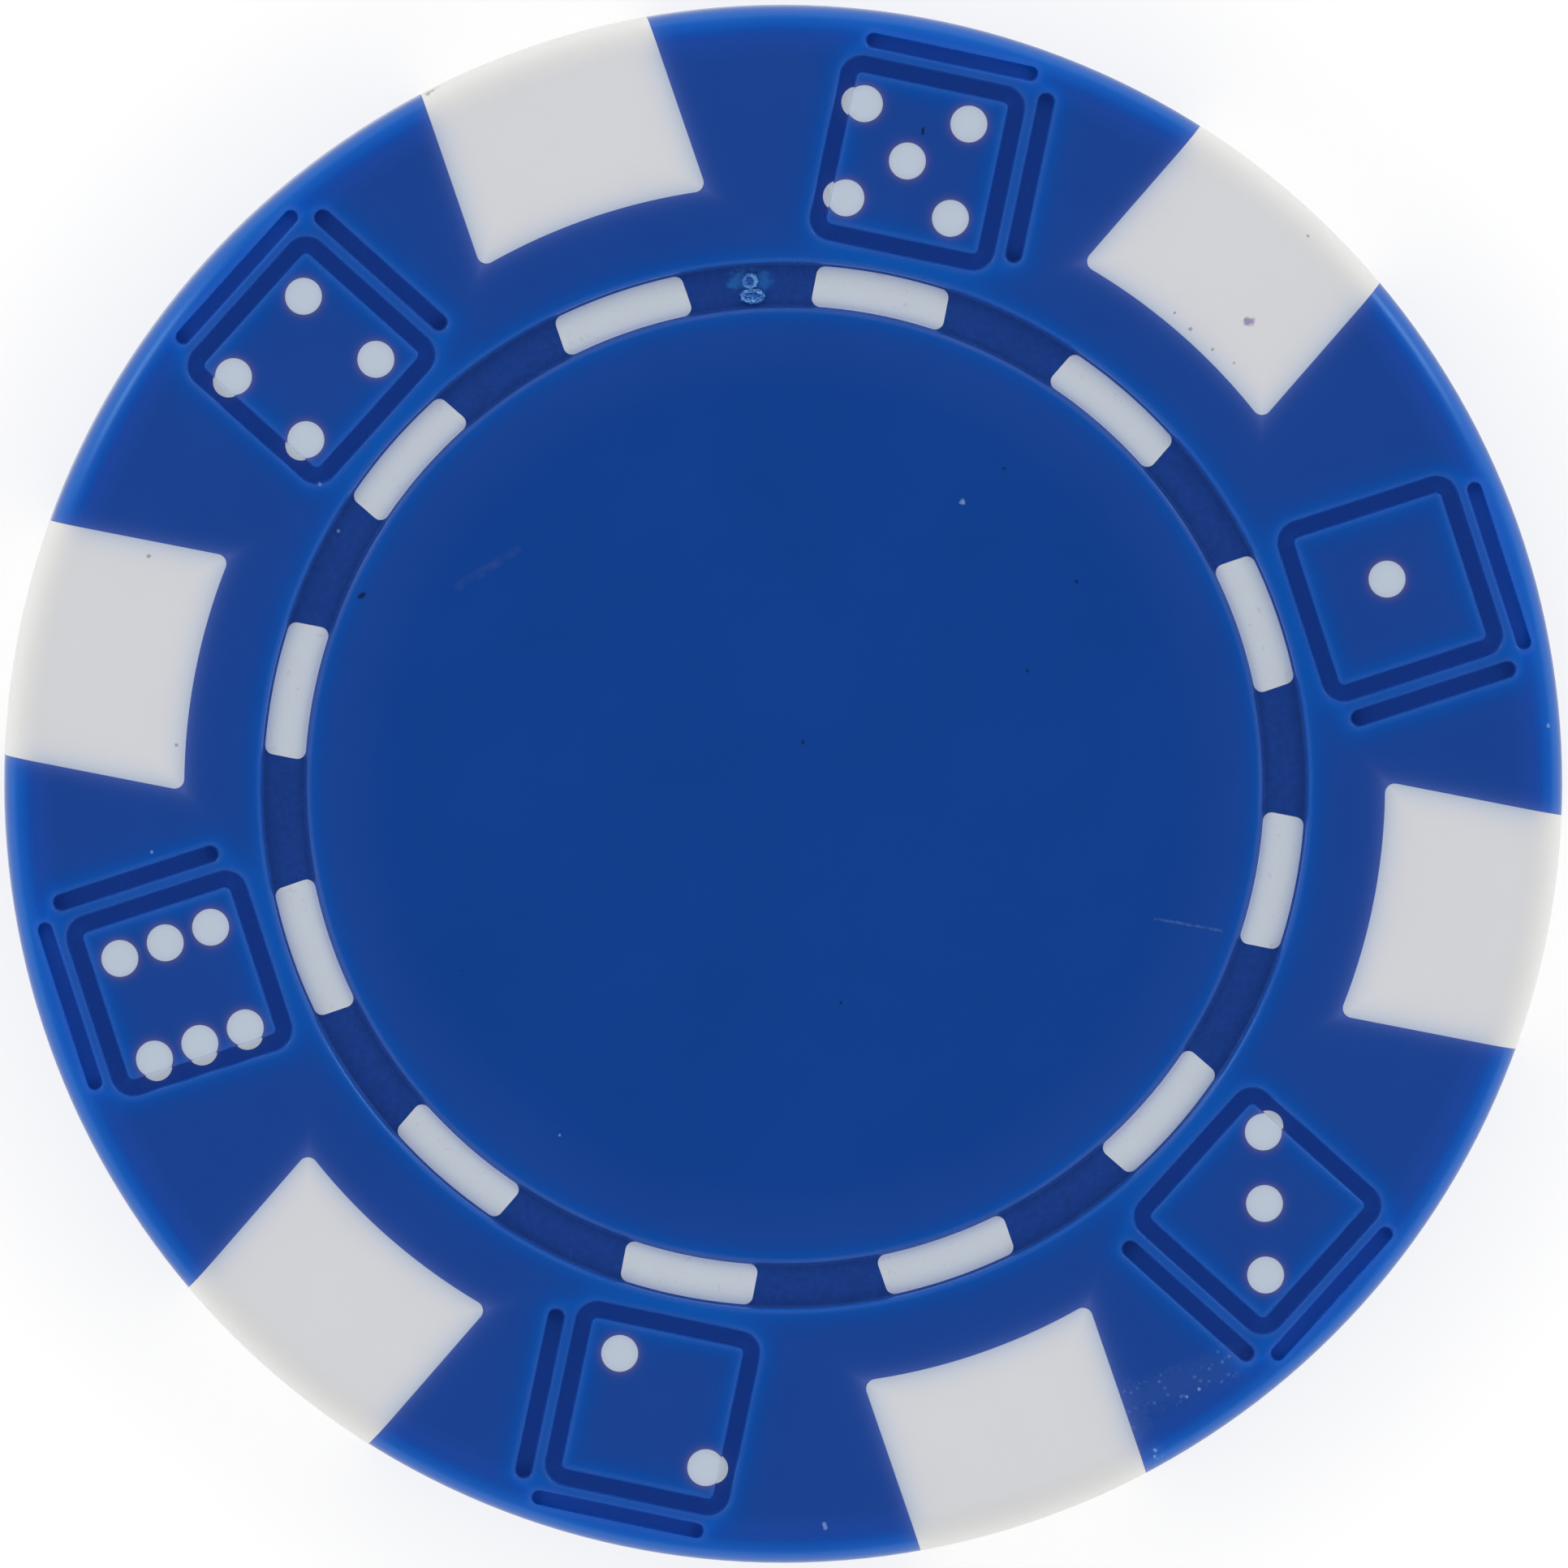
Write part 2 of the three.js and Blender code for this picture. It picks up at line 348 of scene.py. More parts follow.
die_cutters = [
    outline_cutter(),
    bar_cutter("outer_bar", OUTER_BAR, False),
    bar_cutter("side_bar", SIDE_BAR, True),
]
die_cutter = join(die_cutters, "die_grooves")
grooves = both_faces(round_chip(die_cutter, DIE_ANGLES, "die_grooves"), "die_grooves")
form = report(carve(spun_form("chip_form"), grooves, "DIFFERENCE"))

# %% [markdown]
# ## The white stock
# The core is a disc with everything white standing on it: edge spots right through the chip, dashes up
# to the floor of the ring groove, and a slightly tapered post under each pip. Posts on the
# counterclockwise side of a die stand in its groove, and a shorter bulge on that side, a toe, stays
# white there. All are made a little too tall, because the outer form will trim them. Spots and dashes
# are outlines of straight lines and arcs, drawn by moving the vertices of a filled circle and extruding
# its face.

# %% Outlines and plates
WINDOW_GAP = 0.004
SPOT_HALF = 3.06
SPOT_INNER = 15.4
SPOT_CORNER = 0.25
SPOT_CORNER_STEPS = 8
SPOT_ARC_STEPS = 24
DASHES = 12
DASH_HALF = 1.72
DASH_INNER = 12.31
DASH_OUTER = 13.36
DASH_CORNER = 0.22
DASH_CORNER_STEPS = 6
DASH_ARC_STEPS = 14
OVERRUN = 0.5
ROOT = 0.2
CORE_SKIN = 0.52
CORE_LOW, CORE_HIGH = CORE_SKIN, THICKNESS - CORE_SKIN
CORE_RADIUS = 18.44


def arc(x, y, radius, start, end, steps):
    angles = [start + (end - start) * step / steps for step in range(steps + 1)]
    return [(x + radius * math.cos(angle), y + radius * math.sin(angle)) for angle in angles]


def spot_outline(gap):
    half = SPOT_HALF + gap
    inner = SPOT_INNER - gap
    corner = SPOT_CORNER + gap
    x = half - corner
    y = math.sqrt((inner + corner) ** 2 - x**2)
    lean = math.atan2(x, y)
    right = math.pi / 2
    outer = CHIP_RADIUS + OVERRUN
    return (
        [(half, outer), (-half, outer)]
        + arc(-x, y, corner, math.pi, 3 * right + lean, SPOT_CORNER_STEPS)
        + arc(0, 0, inner, right + lean, right - lean, SPOT_ARC_STEPS)[1:-1]
        + arc(x, y, corner, 3 * right - lean, 4 * right, SPOT_CORNER_STEPS)
    )


def dash_outline(gap):
    half = DASH_HALF + gap
    inner = DASH_INNER - gap
    outer = DASH_OUTER + gap
    corner = DASH_CORNER + gap
    x = half - corner
    low = math.sqrt((inner + corner) ** 2 - x**2)
    high = math.sqrt((outer - corner) ** 2 - x**2)
    low_lean = math.atan2(x, low)
    high_lean = math.atan2(x, high)
    right = math.pi / 2
    return (
        arc(x, high, corner, 0, right - high_lean, DASH_CORNER_STEPS)
        + arc(0, 0, outer, right - high_lean, right + high_lean, DASH_ARC_STEPS)[1:-1]
        + arc(-x, high, corner, right + high_lean, 2 * right, DASH_CORNER_STEPS)
        + arc(-x, low, corner, 2 * right, 3 * right + low_lean, DASH_CORNER_STEPS)
        + arc(0, 0, inner, right + low_lean, right - low_lean, DASH_ARC_STEPS)[1:-1]
        + arc(x, low, corner, 3 * right - low_lean, 4 * right, DASH_CORNER_STEPS)
    )


def plate(name, outline, low, high):
    bpy.ops.mesh.primitive_circle_add(vertices=len(outline), fill_type="NGON")
    made = bpy.context.object
    made.name = name
    for vertex, (x, y) in zip(made.data.vertices, outline):
        vertex.co = (x, y, low)
    begin_edit(made)
    bpy.ops.mesh.extrude_region_move(TRANSFORM_OT_translate={"value": (0, 0, high - low)})
    end_edit()
    return made


# %% Posts under the pips
PIP_RADIUS = 0.473
POST_TAPER = 5
POST_SPREAD = math.tan(math.radians(POST_TAPER))
POST_SIDES = 56
POST_OVERRUN = 0.2
TOE_SIDE = -1
TOE_SIDES = 48
TOE_RADIUS = 0.4
TOE_SHIFT = 0.185
TOE_COVER = 0.12
PIP_ACROSS = 1.365
PIP_OUT = 1.23
CORNER_PIPS = [(-1, -1), (-1, 1), (1, -1), (1, 1)]
DIE_FACES = [
    [(0, 0)],
    CORNER_PIPS + [(0, 0)],
    CORNER_PIPS,
    CORNER_PIPS + [(-1, 0), (1, 0)],
    [(1, -1), (-1, 1)],
    [(-1, -1), (0, 0), (1, 1)],
]


def toe(centre, low, gap):
    """A shorter bulge on the side of a post that a die groove lays bare."""
    high = THICKNESS - TOE_COVER + gap
    place = (centre[0] + TOE_SIDE * TOE_SHIFT, centre[1], (low + high) / 2)
    bpy.ops.mesh.primitive_cylinder_add(
        vertices=TOE_SIDES, radius=TOE_RADIUS + gap, depth=high - low, location=place
    )
    return settle(bpy.context.object)


def post(across, out, angle, gap):
    low, high = CORE_HIGH - ROOT, THICKNESS + POST_OVERRUN
    foot = PIP_RADIUS + gap + (THICKNESS - low) * POST_SPREAD
    head = PIP_RADIUS + gap - (high - THICKNESS) * POST_SPREAD
    centre = (across * PIP_ACROSS, DIE_CENTRE + out * PIP_OUT, (low + high) / 2)
    bpy.ops.mesh.primitive_cone_add(
        vertices=POST_SIDES, radius1=foot, radius2=head, depth=high - low, location=centre
    )
    made = settle(bpy.context.object)
    if across == TOE_SIDE:
        carve(made, toe(centre, low, gap), "UNION")
    made.rotation_euler.z = math.radians(angle - 90)
    return settle(made)


def posts(middle_row, gap):
    """All posts of the upper face whose pips lie, or don't lie, on the middle row of their die."""
    made = []
    for index, places in enumerate(DIE_FACES):
        for across, out in places:
            if (out == 0) == middle_row:
                made.append(post(across, out, FIRST_DIE + DIE_STEP * index, gap))
    return join(made, "pip_posts")


def white_stock(gap, name):
    height = CORE_HIGH - CORE_LOW + 2 * gap
    bpy.ops.mesh.primitive_cylinder_add(
        vertices=SPIN_STEPS, radius=CORE_RADIUS + gap, depth=height, location=(0, 0, MIDDLE)
    )
    stock = settle(bpy.context.object)
    stock.name = name
    dash = plate("ring_dash", dash_outline(gap), CORE_HIGH - ROOT, THICKNESS + OVERRUN)
    dash_angles = [FIRST_DIE + 360 / DASHES * index for index in range(DASHES)]
    spot = plate("edge_spot", spot_outline(gap), -OVERRUN, THICKNESS + OVERRUN)
    spot_angles = [FIRST_SPOT + DIE_STEP * index for index in range(DICE)]
    carve(stock, both_faces(round_chip(dash, dash_angles, "ring_dashes"), "ring_dashes"), "UNION")
    carve(stock, both_faces(posts(False, gap), "pip_posts"), "UNION")
    carve(stock, both_faces(posts(True, gap), "pip_posts"), "UNION")
    carve(stock, round_chip(spot, spot_angles, "edge_spots"), "UNION")
    return report(stock)


# %% [markdown]
# ## Sharing the form between white and blue
# The core is what the stock and the form have in common, so its spots follow the rounded rim and a
# groove cuts any post that it crosses. The jacket is the form with the stock taken away. Both then get
# smooth shading with normals weighted by face size, which keeps the flats flat beside round edges.

# %% Core and jacket
SLUG_GAP = 0.03
SMOOTH_ANGLE = 32
slug_low, slug_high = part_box("steel_slug")
slug_radius = (slug_high.x - slug_low.x) / 2 / MM
slug_height = (slug_high.z - slug_low.z) / MM


def slug_pocket():
    bpy.ops.mesh.primitive_cylinder_add(
        vertices=SPIN_STEPS,
        radius=slug_radius + SLUG_GAP,
        depth=slug_height + 2 * SLUG_GAP,
        location=(0, 0, MIDDLE),
    )
    return settle(bpy.context.object)


def finish_shape(obj, name):
    """Cleans a carved piece, brings it to metres and gives it weighted smooth normals."""
    begin_edit(obj)
    bpy.ops.mesh.remove_doubles(threshold=MERGE)
    bpy.ops.mesh.dissolve_degenerate(threshold=MERGE)
    bpy.ops.object.mode_set(mode="OBJECT")
    obj.name = name
    obj.scale = (MM, MM, MM)
    settle(obj)
    bpy.ops.object.shade_smooth_by_angle(angle=math.radians(SMOOTH_ANGLE))
    bpy.ops.object.modifier_add(type="WEIGHTED_NORMAL")
    obj.modifiers[-1].keep_sharp = True
    bpy.ops.object.modifier_apply(modifier=obj.modifiers[-1].name)
    return report(obj)


core = duplicate(form, "core_moulding")
carve(core, white_stock(0, "white_stock"), "INTERSECT")
carve(core, slug_pocket(), "DIFFERENCE")
jacket = carve(form, white_stock(WINDOW_GAP, "window_stock"), "DIFFERENCE")
core = finish_shape(core, "core_moulding")
jacket = finish_shape(jacket, "jacket_moulding")

# %% [markdown]
# ## The gate scar
# Molten blue plastic entered the mould through a small gate in the ring groove. Snapping off the frozen
# runner leaves two crumbly stubs there. Each is a low cone with a crater: its top face is inset and
# pushed down, and its vertices are then shaken a little, with a fixed seed.

# %% Two broken stubs
GATE_STUBS = [
    {"x": -0.824, "y": 12.56, "reach": 0.37, "flatness": 0.62, "sides": 9, "seed": 5},
    {"x": -0.889, "y": 12.95, "reach": 0.24, "flatness": 1.0, "sides": 8, "seed": 2},
]
GATE_RISE = 0.11
GATE_SINK = 0.04
GATE_TOP = 0.8
CRATER_EDGE = 0.2
CRATER_SLOPE = 0.25
CRATER_DROP = 0.3
CRUMBLE = 0.08
FACING_UP = 0.9


def gate_stub(x, y, reach, flatness, sides, seed):
    base = THICKNESS - RING_DEPTH - GATE_SINK
    bpy.ops.mesh.primitive_cone_add(
        vertices=sides,
        radius1=reach,
        radius2=reach * GATE_TOP,
        depth=GATE_RISE,
        location=(0, 0, GATE_RISE / 2),
    )
    stub = settle(bpy.context.object)
    begin_edit(stub, "FACE")
    mesh = bmesh.from_edit_mesh(stub.data)
    for face in mesh.faces:
        face.select = face.normal.z > FACING_UP
    bmesh.update_edit_mesh(stub.data)
    bpy.ops.mesh.inset(thickness=reach * CRATER_EDGE, depth=0)
    bpy.ops.mesh.inset(thickness=reach * CRATER_SLOPE, depth=-GATE_RISE * CRATER_DROP)
    bpy.ops.mesh.select_all(action="SELECT")
    bpy.ops.mesh.subdivide(number_cuts=2, smoothness=0.3)
    bpy.ops.transform.vertex_random(offset=reach * CRUMBLE, uniform=0.3, normal=0.5, seed=seed)
    end_edit()
    stub.scale = (1, flatness, 1)
    stub.location = (x, y, base)
    return settle(stub)


gate = join([gate_stub(**stub) for stub in GATE_STUBS], "gate_scar")
gate.scale = (MM, MM, MM)
settle(gate)
report(gate)

# %% [markdown]
# ## Finishes: nodes as arithmetic
# Both plastics change near edges: light leaks through the blue beside a groove and on the rim, and the
# white turns cooler where it meets blue. Such effects need distances in the chip's own drawing, so the
# first node groups turn Object coordinates into millimetres, a radius, an angle and a depth. Groups put
# out plain values, and each material mixes its own colours with them.

# %% Node helpers
FLOAT, VECTOR = "NodeSocketFloat", "NodeSocketVector"


def feed(tree, socket, value):
    if isinstance(value, bpy.types.NodeSocket):
        tree.links.new(value, socket)
    else:
        socket.default_value = value


def add_node(tree, kind, values=(), **settings):
    made = tree.nodes.new(kind)
    for name, setting in settings.items():
        setattr(made, name, setting)
    for socket, value in zip(made.inputs, values):
        feed(tree, socket, value)
    return made


def maths(tree, operation, *values):
    return add_node(tree, "ShaderNodeMath", values, operation=operation).outputs[0]


def vector_maths(tree, operation, *values):
    made = add_node(tree, "ShaderNodeVectorMath", values, operation=operation)
    return made.outputs["Value"] if operation in ("LENGTH", "DOT_PRODUCT") else made.outputs["Vector"]


def hypotenuse(tree, first, second):
    total = maths(tree, "MULTIPLY_ADD", first, first, maths(tree, "MULTIPLY", second, second))
    return maths(tree, "SQRT", total)


def ease(tree, value, start, end):
    """0 at start, 1 at end and smooth between them; start may be the larger one."""
    values = (value, start, end, 0.0, 1.0)
    return add_node(tree, "ShaderNodeMapRange", values, interpolation_type="SMOOTHSTEP").outputs["Result"]


def blend(tree, factor, first, second, way="MIX"):
    made = add_node(tree, "ShaderNodeMix", data_type="RGBA", blend_type=way)
    for index, value in ((0, factor), (6, first), (7, second)):
        feed(tree, made.inputs[index], value)
    return made.outputs[2]


def colour_ramp(tree, value, stops, start, end):
    """A ramp through display colours whose stops are given on the scale from start to end."""
    share = maths(tree, "DIVIDE", maths(tree, "SUBTRACT", value, start), end - start)
    ramp = add_node(tree, "ShaderNodeValToRGB", [share])
    elements = ramp.color_ramp.elements
    while len(elements) < len(stops):
        elements.new(0.5)
    for element, (position, colour) in zip(elements, stops):
        element.position = (position - start) / (end - start)
        element.color = display_colour(*colour)
    return ramp.outputs["Color"]


def noise(tree, place, scale, detail=2.0, roughness=0.5):
    made = add_node(tree, "ShaderNodeTexNoise")
    feed(tree, made.inputs["Vector"], place)
    made.inputs["Scale"].default_value = scale
    made.inputs["Detail"].default_value = detail
    made.inputs["Roughness"].default_value = roughness
    return made.outputs["Fac"]


def new_group(name, inputs, outputs):
    tree = bpy.data.node_groups.new(name, "ShaderNodeTree")
    for socket, kind in inputs:
        tree.interface.new_socket(name=socket, in_out="INPUT", socket_type=kind)
    for socket, kind in outputs:
        tree.interface.new_socket(name=socket, in_out="OUTPUT", socket_type=kind)
    return tree, tree.nodes.new("NodeGroupInput").outputs, tree.nodes.new("NodeGroupOutput").inputs


def use_group(tree, group, **values):
    made = add_node(tree, "ShaderNodeGroup", node_tree=group)
    for name, value in values.items():
        feed(tree, made.inputs[name], value)
    return made.outputs


def display_colour(red, green, blue):
    """A linear colour from 8-bit display values."""
    channels = [value / 255 for value in (red, green, blue)]
    linear = [c / 12.92 if c <= 0.04045 else ((c + 0.055) / 1.055) ** 2.4 for c in channels]
    return (*linear, 1)


# %% [markdown]
# ## Where a point lies in the drawing
# The lower face carries the same drawing turned over, so its angle is mirrored about the axis through
# the first spot. `Depth` counts from whichever face is nearer, less what the rounded rim already drops.

# %% Group: place on the face


def make_face_place():
    outputs = [("Radius", FLOAT), ("Angle", FLOAT), ("Depth", FLOAT), ("Upper", FLOAT), ("Place", VECTOR)]
    tree, given, out = new_group("face_place", [], outputs)
    spot = add_node(tree, "ShaderNodeTexCoord").outputs["Object"]
    x, y, z = add_node(tree, "ShaderNodeSeparateXYZ", [spot]).outputs
    radius = maths(tree, "MULTIPLY", hypotenuse(tree, x, y), 1 / MM)
    level = maths(tree, "MULTIPLY_ADD", z, 1 / MM, -MIDDLE)
    upper = maths(tree, "GREATER_THAN", level, 0.0)
    angle = maths(tree, "ARCTAN2", y, x)
    turned_over = maths(tree, "SUBTRACT", math.radians(2 * FIRST_SPOT), angle)
    side = maths(tree, "SUBTRACT", angle, turned_over)
    drawn = maths(tree, "MULTIPLY_ADD", side, upper, turned_over)
    beyond = maths(tree, "MAXIMUM", maths(tree, "SUBTRACT", radius, CHIP_RADIUS - RIM_RADIUS), 0.0)
    left = maths(tree, "SUBTRACT", RIM_RADIUS**2, maths(tree, "POWER", beyond, 2.0))
    rim_drop = maths(tree, "SUBTRACT", RIM_RADIUS, maths(tree, "SQRT", maths(tree, "MAXIMUM", left, 0.0)))
    below = maths(tree, "SUBTRACT", MIDDLE, maths(tree, "ABSOLUTE", level))
    place = add_node(tree, "ShaderNodeCombineXYZ", [
        maths(tree, "MULTIPLY", radius, maths(tree, "COSINE", drawn)),
        maths(tree, "MULTIPLY", radius, maths(tree, "SINE", drawn)),
        level,
    ])
    tree.links.new(radius, out["Radius"])
    tree.links.new(drawn, out["Angle"])
    tree.links.new(maths(tree, "SUBTRACT", below, rim_drop), out["Depth"])
    tree.links.new(upper, out["Upper"])
    tree.links.new(place.outputs[0], out["Place"])
    return tree


# %% Group: place in the nearest of six
# `Turn` is the angle of any one of six like places: the dice, the pips or the spots.


def make_sixth_place():
    inputs = [("Radius", FLOAT), ("Angle", FLOAT), ("Turn", FLOAT)]
    tree, given, out = new_group("sixth_place", inputs, [("Across", FLOAT), ("Out", FLOAT)])
    half_step = math.radians(DIE_STEP / 2)
    turned = maths(tree, "SUBTRACT", given["Angle"], given["Turn"])
    wrapped = maths(tree, "WRAP", turned, half_step, -half_step)
    across = maths(tree, "MULTIPLY", given["Radius"], maths(tree, "SINE", wrapped))
    tree.links.new(maths(tree, "MULTIPLY", across, -1.0), out["Across"])
    tree.links.new(maths(tree, "MULTIPLY", given["Radius"], maths(tree, "COSINE", wrapped)), out["Out"])
    return tree


face_place = make_face_place()
sixth_place = make_sixth_place()
print("groups:", face_place.name, sixth_place.name)

# %% [markdown]
# ## Light that leaks at the grooves
# Distance to a groove is a formula: a rounded square for a die's outline, a straight stretch for a bar
# and a circle for the ring. Each fades out exponentially over a quarter of a millimetre, and where two
# grooves lie close together their light adds up. `Lip` marks the rounded edge itself, where a pale
# highlight is painted, most of all round the label seat.

# %% Group: leak beside grooves
LEAK_FADE = 0.25
LIP_MIDDLE = 0.07
LIP_REACH = 0.09
LIP_FULL = 0.02
SEAT_LIP = 2.4


def fade(tree, distance, length):
    """Falls from 1 at the edge towards 0, over about the given length."""
    outside = maths(tree, "MAXIMUM", distance, 0.0)
    return maths(tree, "EXPONENT", maths(tree, "MULTIPLY", outside, -1 / length))


def crest(tree, distance):
    """A narrow band along the rounded lip of a groove."""
    from_middle = maths(tree, "ABSOLUTE", maths(tree, "SUBTRACT", distance, LIP_MIDDLE))
    return ease(tree, from_middle, LIP_REACH, LIP_FULL)


def beyond_half(tree, value, middle, half):
    offset = maths(tree, "ABSOLUTE", maths(tree, "SUBTRACT", value, middle))
    return maths(tree, "SUBTRACT", offset, half)


def outline_distance(tree, across, out):
    reach = DIE_HALF - DIE_CORNER
    side = beyond_half(tree, across, 0.0, reach)
    end = beyond_half(tree, out, 0.0, reach)
    corner = hypotenuse(tree, maths(tree, "MAXIMUM", side, 0.0), maths(tree, "MAXIMUM", end, 0.0))
    within = maths(tree, "MINIMUM", maths(tree, "MAXIMUM", side, end), 0.0)
    from_line = maths(tree, "SUBTRACT", maths(tree, "ADD", corner, within), DIE_CORNER)
    return maths(tree, "SUBTRACT", maths(tree, "ABSOLUTE", from_line), GROOVE_HALF)


def bar_distance(tree, along, aside, bar):
    straight = bar["half_length"] - bar["half_width"]
    past_end = maths(tree, "MAXIMUM", beyond_half(tree, along, bar["shift"], straight), 0.0)
    offset = maths(tree, "SUBTRACT", aside, bar["offset"])
    return maths(tree, "SUBTRACT", hypotenuse(tree, past_end, offset), bar["half_width"])


def make_groove_leak():
    inputs = [("Radius", FLOAT), ("Across", FLOAT), ("Out", FLOAT)]
    tree, given, out = new_group("groove_leak", inputs, [("Leak", FLOAT), ("Lip", FLOAT)])
    across = given["Across"]
    along = maths(tree, "SUBTRACT", given["Out"], DIE_CENTRE)
    ring_middle = (RING_INNER + RING_OUTER) / 2
    ring_half = (RING_OUTER - RING_INNER) / 2
    distances = [
        outline_distance(tree, across, along),
        bar_distance(tree, across, along, OUTER_BAR),
        bar_distance(tree, along, across, SIDE_BAR),
        beyond_half(tree, given["Radius"], ring_middle, ring_half),
    ]
    to_seat_edge = maths(tree, "SUBTRACT", RING_INNER, given["Radius"])
    lip = maths(tree, "MULTIPLY", crest(tree, to_seat_edge), SEAT_LIP)
    total = 0.0
    for distance in distances:
        total = maths(tree, "ADD", total, fade(tree, distance, LEAK_FADE))
        lip = maths(tree, "MAXIMUM", lip, crest(tree, distance))
    tree.links.new(total, out["Leak"])
    tree.links.new(lip, out["Lip"])
    return tree


groove_leak = make_groove_leak()

# %% [markdown]
# ## Edge spots, marks and grain
# `spot_depth` says how far inside an edge spot a point lies, or outside it where negative, and
# `pip_distance` how far the nearest pip is. A `mark` is a short stroke between two points with a ragged
# outline, which serves for specks as well as scratches. `moulded_grain` gives the faint mottle of a
# moulded face and the height of its fine texture.

# %% Groups: spot depth and pip distance


def make_spot_depth():
    inputs = [("Radius", FLOAT), ("Across", FLOAT)]
    tree, given, out = new_group("spot_depth", inputs, [("Inside", FLOAT)])
    side = maths(tree, "SUBTRACT", SPOT_HALF, maths(tree, "ABSOLUTE", given["Across"]))
    end = maths(tree, "SUBTRACT", given["Radius"], SPOT_INNER)
    tree.links.new(maths(tree, "MINIMUM", side, end), out["Inside"])
    return tree


def make_pip_distance():
    """Distance from the nearest pip's middle, for every pip of the drawing."""
    tree, given, out = new_group("pip_distance", [("Place", VECTOR)], [("Distance", FLOAT)])
    flat = vector_maths(tree, "MULTIPLY", given["Place"], (1, 1, 0))
    nearest = CHIP_RADIUS
    for index, places in enumerate(DIE_FACES):
        turn = math.radians(FIRST_DIE + DIE_STEP * index)
        for across, out_step in places:
            aside = across * PIP_ACROSS
            ahead = DIE_CENTRE + out_step * PIP_OUT
            x = ahead * math.cos(turn) + aside * math.sin(turn)
            y = ahead * math.sin(turn) - aside * math.cos(turn)
            gap = vector_maths(tree, "LENGTH", vector_maths(tree, "SUBTRACT", flat, (x, y, 0)))
            nearest = maths(tree, "MINIMUM", nearest, gap)
    tree.links.new(nearest, out["Distance"])
    return tree


# %% Groups: marks and grain
SHORTEST = 1e-6
MARK_SOLID = 0.3
BROAD_MOTTLE = 0.35
BROAD_SHARE = 0.7
FINE_MOTTLE = 9.0
GRAIN_SCALE = 22.0


def make_mark():
    inputs = [("Place", VECTOR), ("Wobble", FLOAT), ("Start", VECTOR), ("End", VECTOR), ("Width", FLOAT)]
    tree, given, out = new_group("mark", inputs, [("Mask", FLOAT)])
    reach = vector_maths(tree, "SUBTRACT", given["Place"], given["Start"])
    stroke = vector_maths(tree, "SUBTRACT", given["End"], given["Start"])
    length = maths(tree, "MAXIMUM", vector_maths(tree, "DOT_PRODUCT", stroke, stroke), SHORTEST)
    share = maths(tree, "DIVIDE", vector_maths(tree, "DOT_PRODUCT", reach, stroke), length)
    share = maths(tree, "MINIMUM", maths(tree, "MAXIMUM", share, 0.0), 1.0)
    on_stroke = add_node(tree, "ShaderNodeVectorMath", operation="SCALE")
    feed(tree, on_stroke.inputs[0], stroke)
    feed(tree, on_stroke.inputs["Scale"], share)
    aside = vector_maths(tree, "LENGTH", vector_maths(tree, "SUBTRACT", reach, on_stroke.outputs[0]))
    share_aside = maths(tree, "ADD", maths(tree, "DIVIDE", aside, given["Width"]), given["Wobble"])
    tree.links.new(ease(tree, share_aside, 1.0, MARK_SOLID), out["Mask"])
    return tree


def make_moulded_grain():
    outputs = [("Mottle", FLOAT), ("Height", FLOAT)]
    tree, given, out = new_group("moulded_grain", [("Place", VECTOR)], outputs)
    broad = noise(tree, given["Place"], BROAD_MOTTLE, 3.0)
    fine = noise(tree, given["Place"], FINE_MOTTLE, 2.0)
    fine_part = maths(tree, "MULTIPLY", fine, 1 - BROAD_SHARE)
    tree.links.new(maths(tree, "MULTIPLY_ADD", broad, BROAD_SHARE, fine_part), out["Mottle"])
    tree.links.new(noise(tree, given["Place"], GRAIN_SCALE, 3.0, 0.6), out["Height"])
    return tree


spot_depth = make_spot_depth()
pip_distance = make_pip_distance()
mark = make_mark()
moulded_grain = make_moulded_grain()
print("groups:", groove_leak.name, spot_depth.name, pip_distance.name, mark.name, moulded_grain.name)

# %% [markdown]
# ## Material set-up
# A new material keeps its Principled BSDF, which holds what is the same all over as plain socket values.
# What changes over the surface is painted in layers: each layer takes the colour so far, moves it
# towards a tone where a mask is white, and hands it on.

# %% New plastic
PLASTIC_IOR = 1.49
GRAIN_STRENGTH = 0.25
GRAIN_HEIGHT = 0.01


def new_plastic(name, shine_level, shine_tint):
    material = bpy.data.materials.new(name)
    material.use_nodes = True
    tree = material.node_tree
    shader = tree.nodes["Principled BSDF"]
    shader.inputs["IOR"].default_value = PLASTIC_IOR
    shader.inputs["Specular IOR Level"].default_value = shine_level
    shader.inputs["Specular Tint"].default_value = shine_tint
    return material, tree, shader


def add_grain(tree, shader, grain):
    """Lets the height of the moulded grain bend the shading a little."""
    bump = add_node(tree, "ShaderNodeBump")
    bump.inputs["Strength"].default_value = GRAIN_STRENGTH
    bump.inputs["Distance"].default_value = GRAIN_HEIGHT * MM
    feed(tree, bump.inputs["Height"], grain["Height"])
    feed(tree, shader.inputs["Normal"], bump.outputs[0])


def dress(obj, material):
    obj.data.materials.clear()
    obj.data.materials.append(material)
    print(obj.name, "wears", material.name)


# %% Layers of paint and marks
WALL_FADE = 0.15
WOBBLE = 0.8
WOBBLE_SCALE = 9.0


def tint(tree, colour, mask, strength, tone):
    """Moves a colour towards a tone by a share of a mask."""
    return blend(tree, maths(tree, "MULTIPLY", mask, strength), colour, tone)


def vary(tree, colour, pattern, spread):
    """Darkens and lightens a colour by up to the given share, as a pattern goes from 0 to 1."""
    level = maths(tree, "MULTIPLY_ADD", pattern, 2 * spread, 1 - spread)
    return blend(tree, 1.0, colour, level, "MULTIPLY")


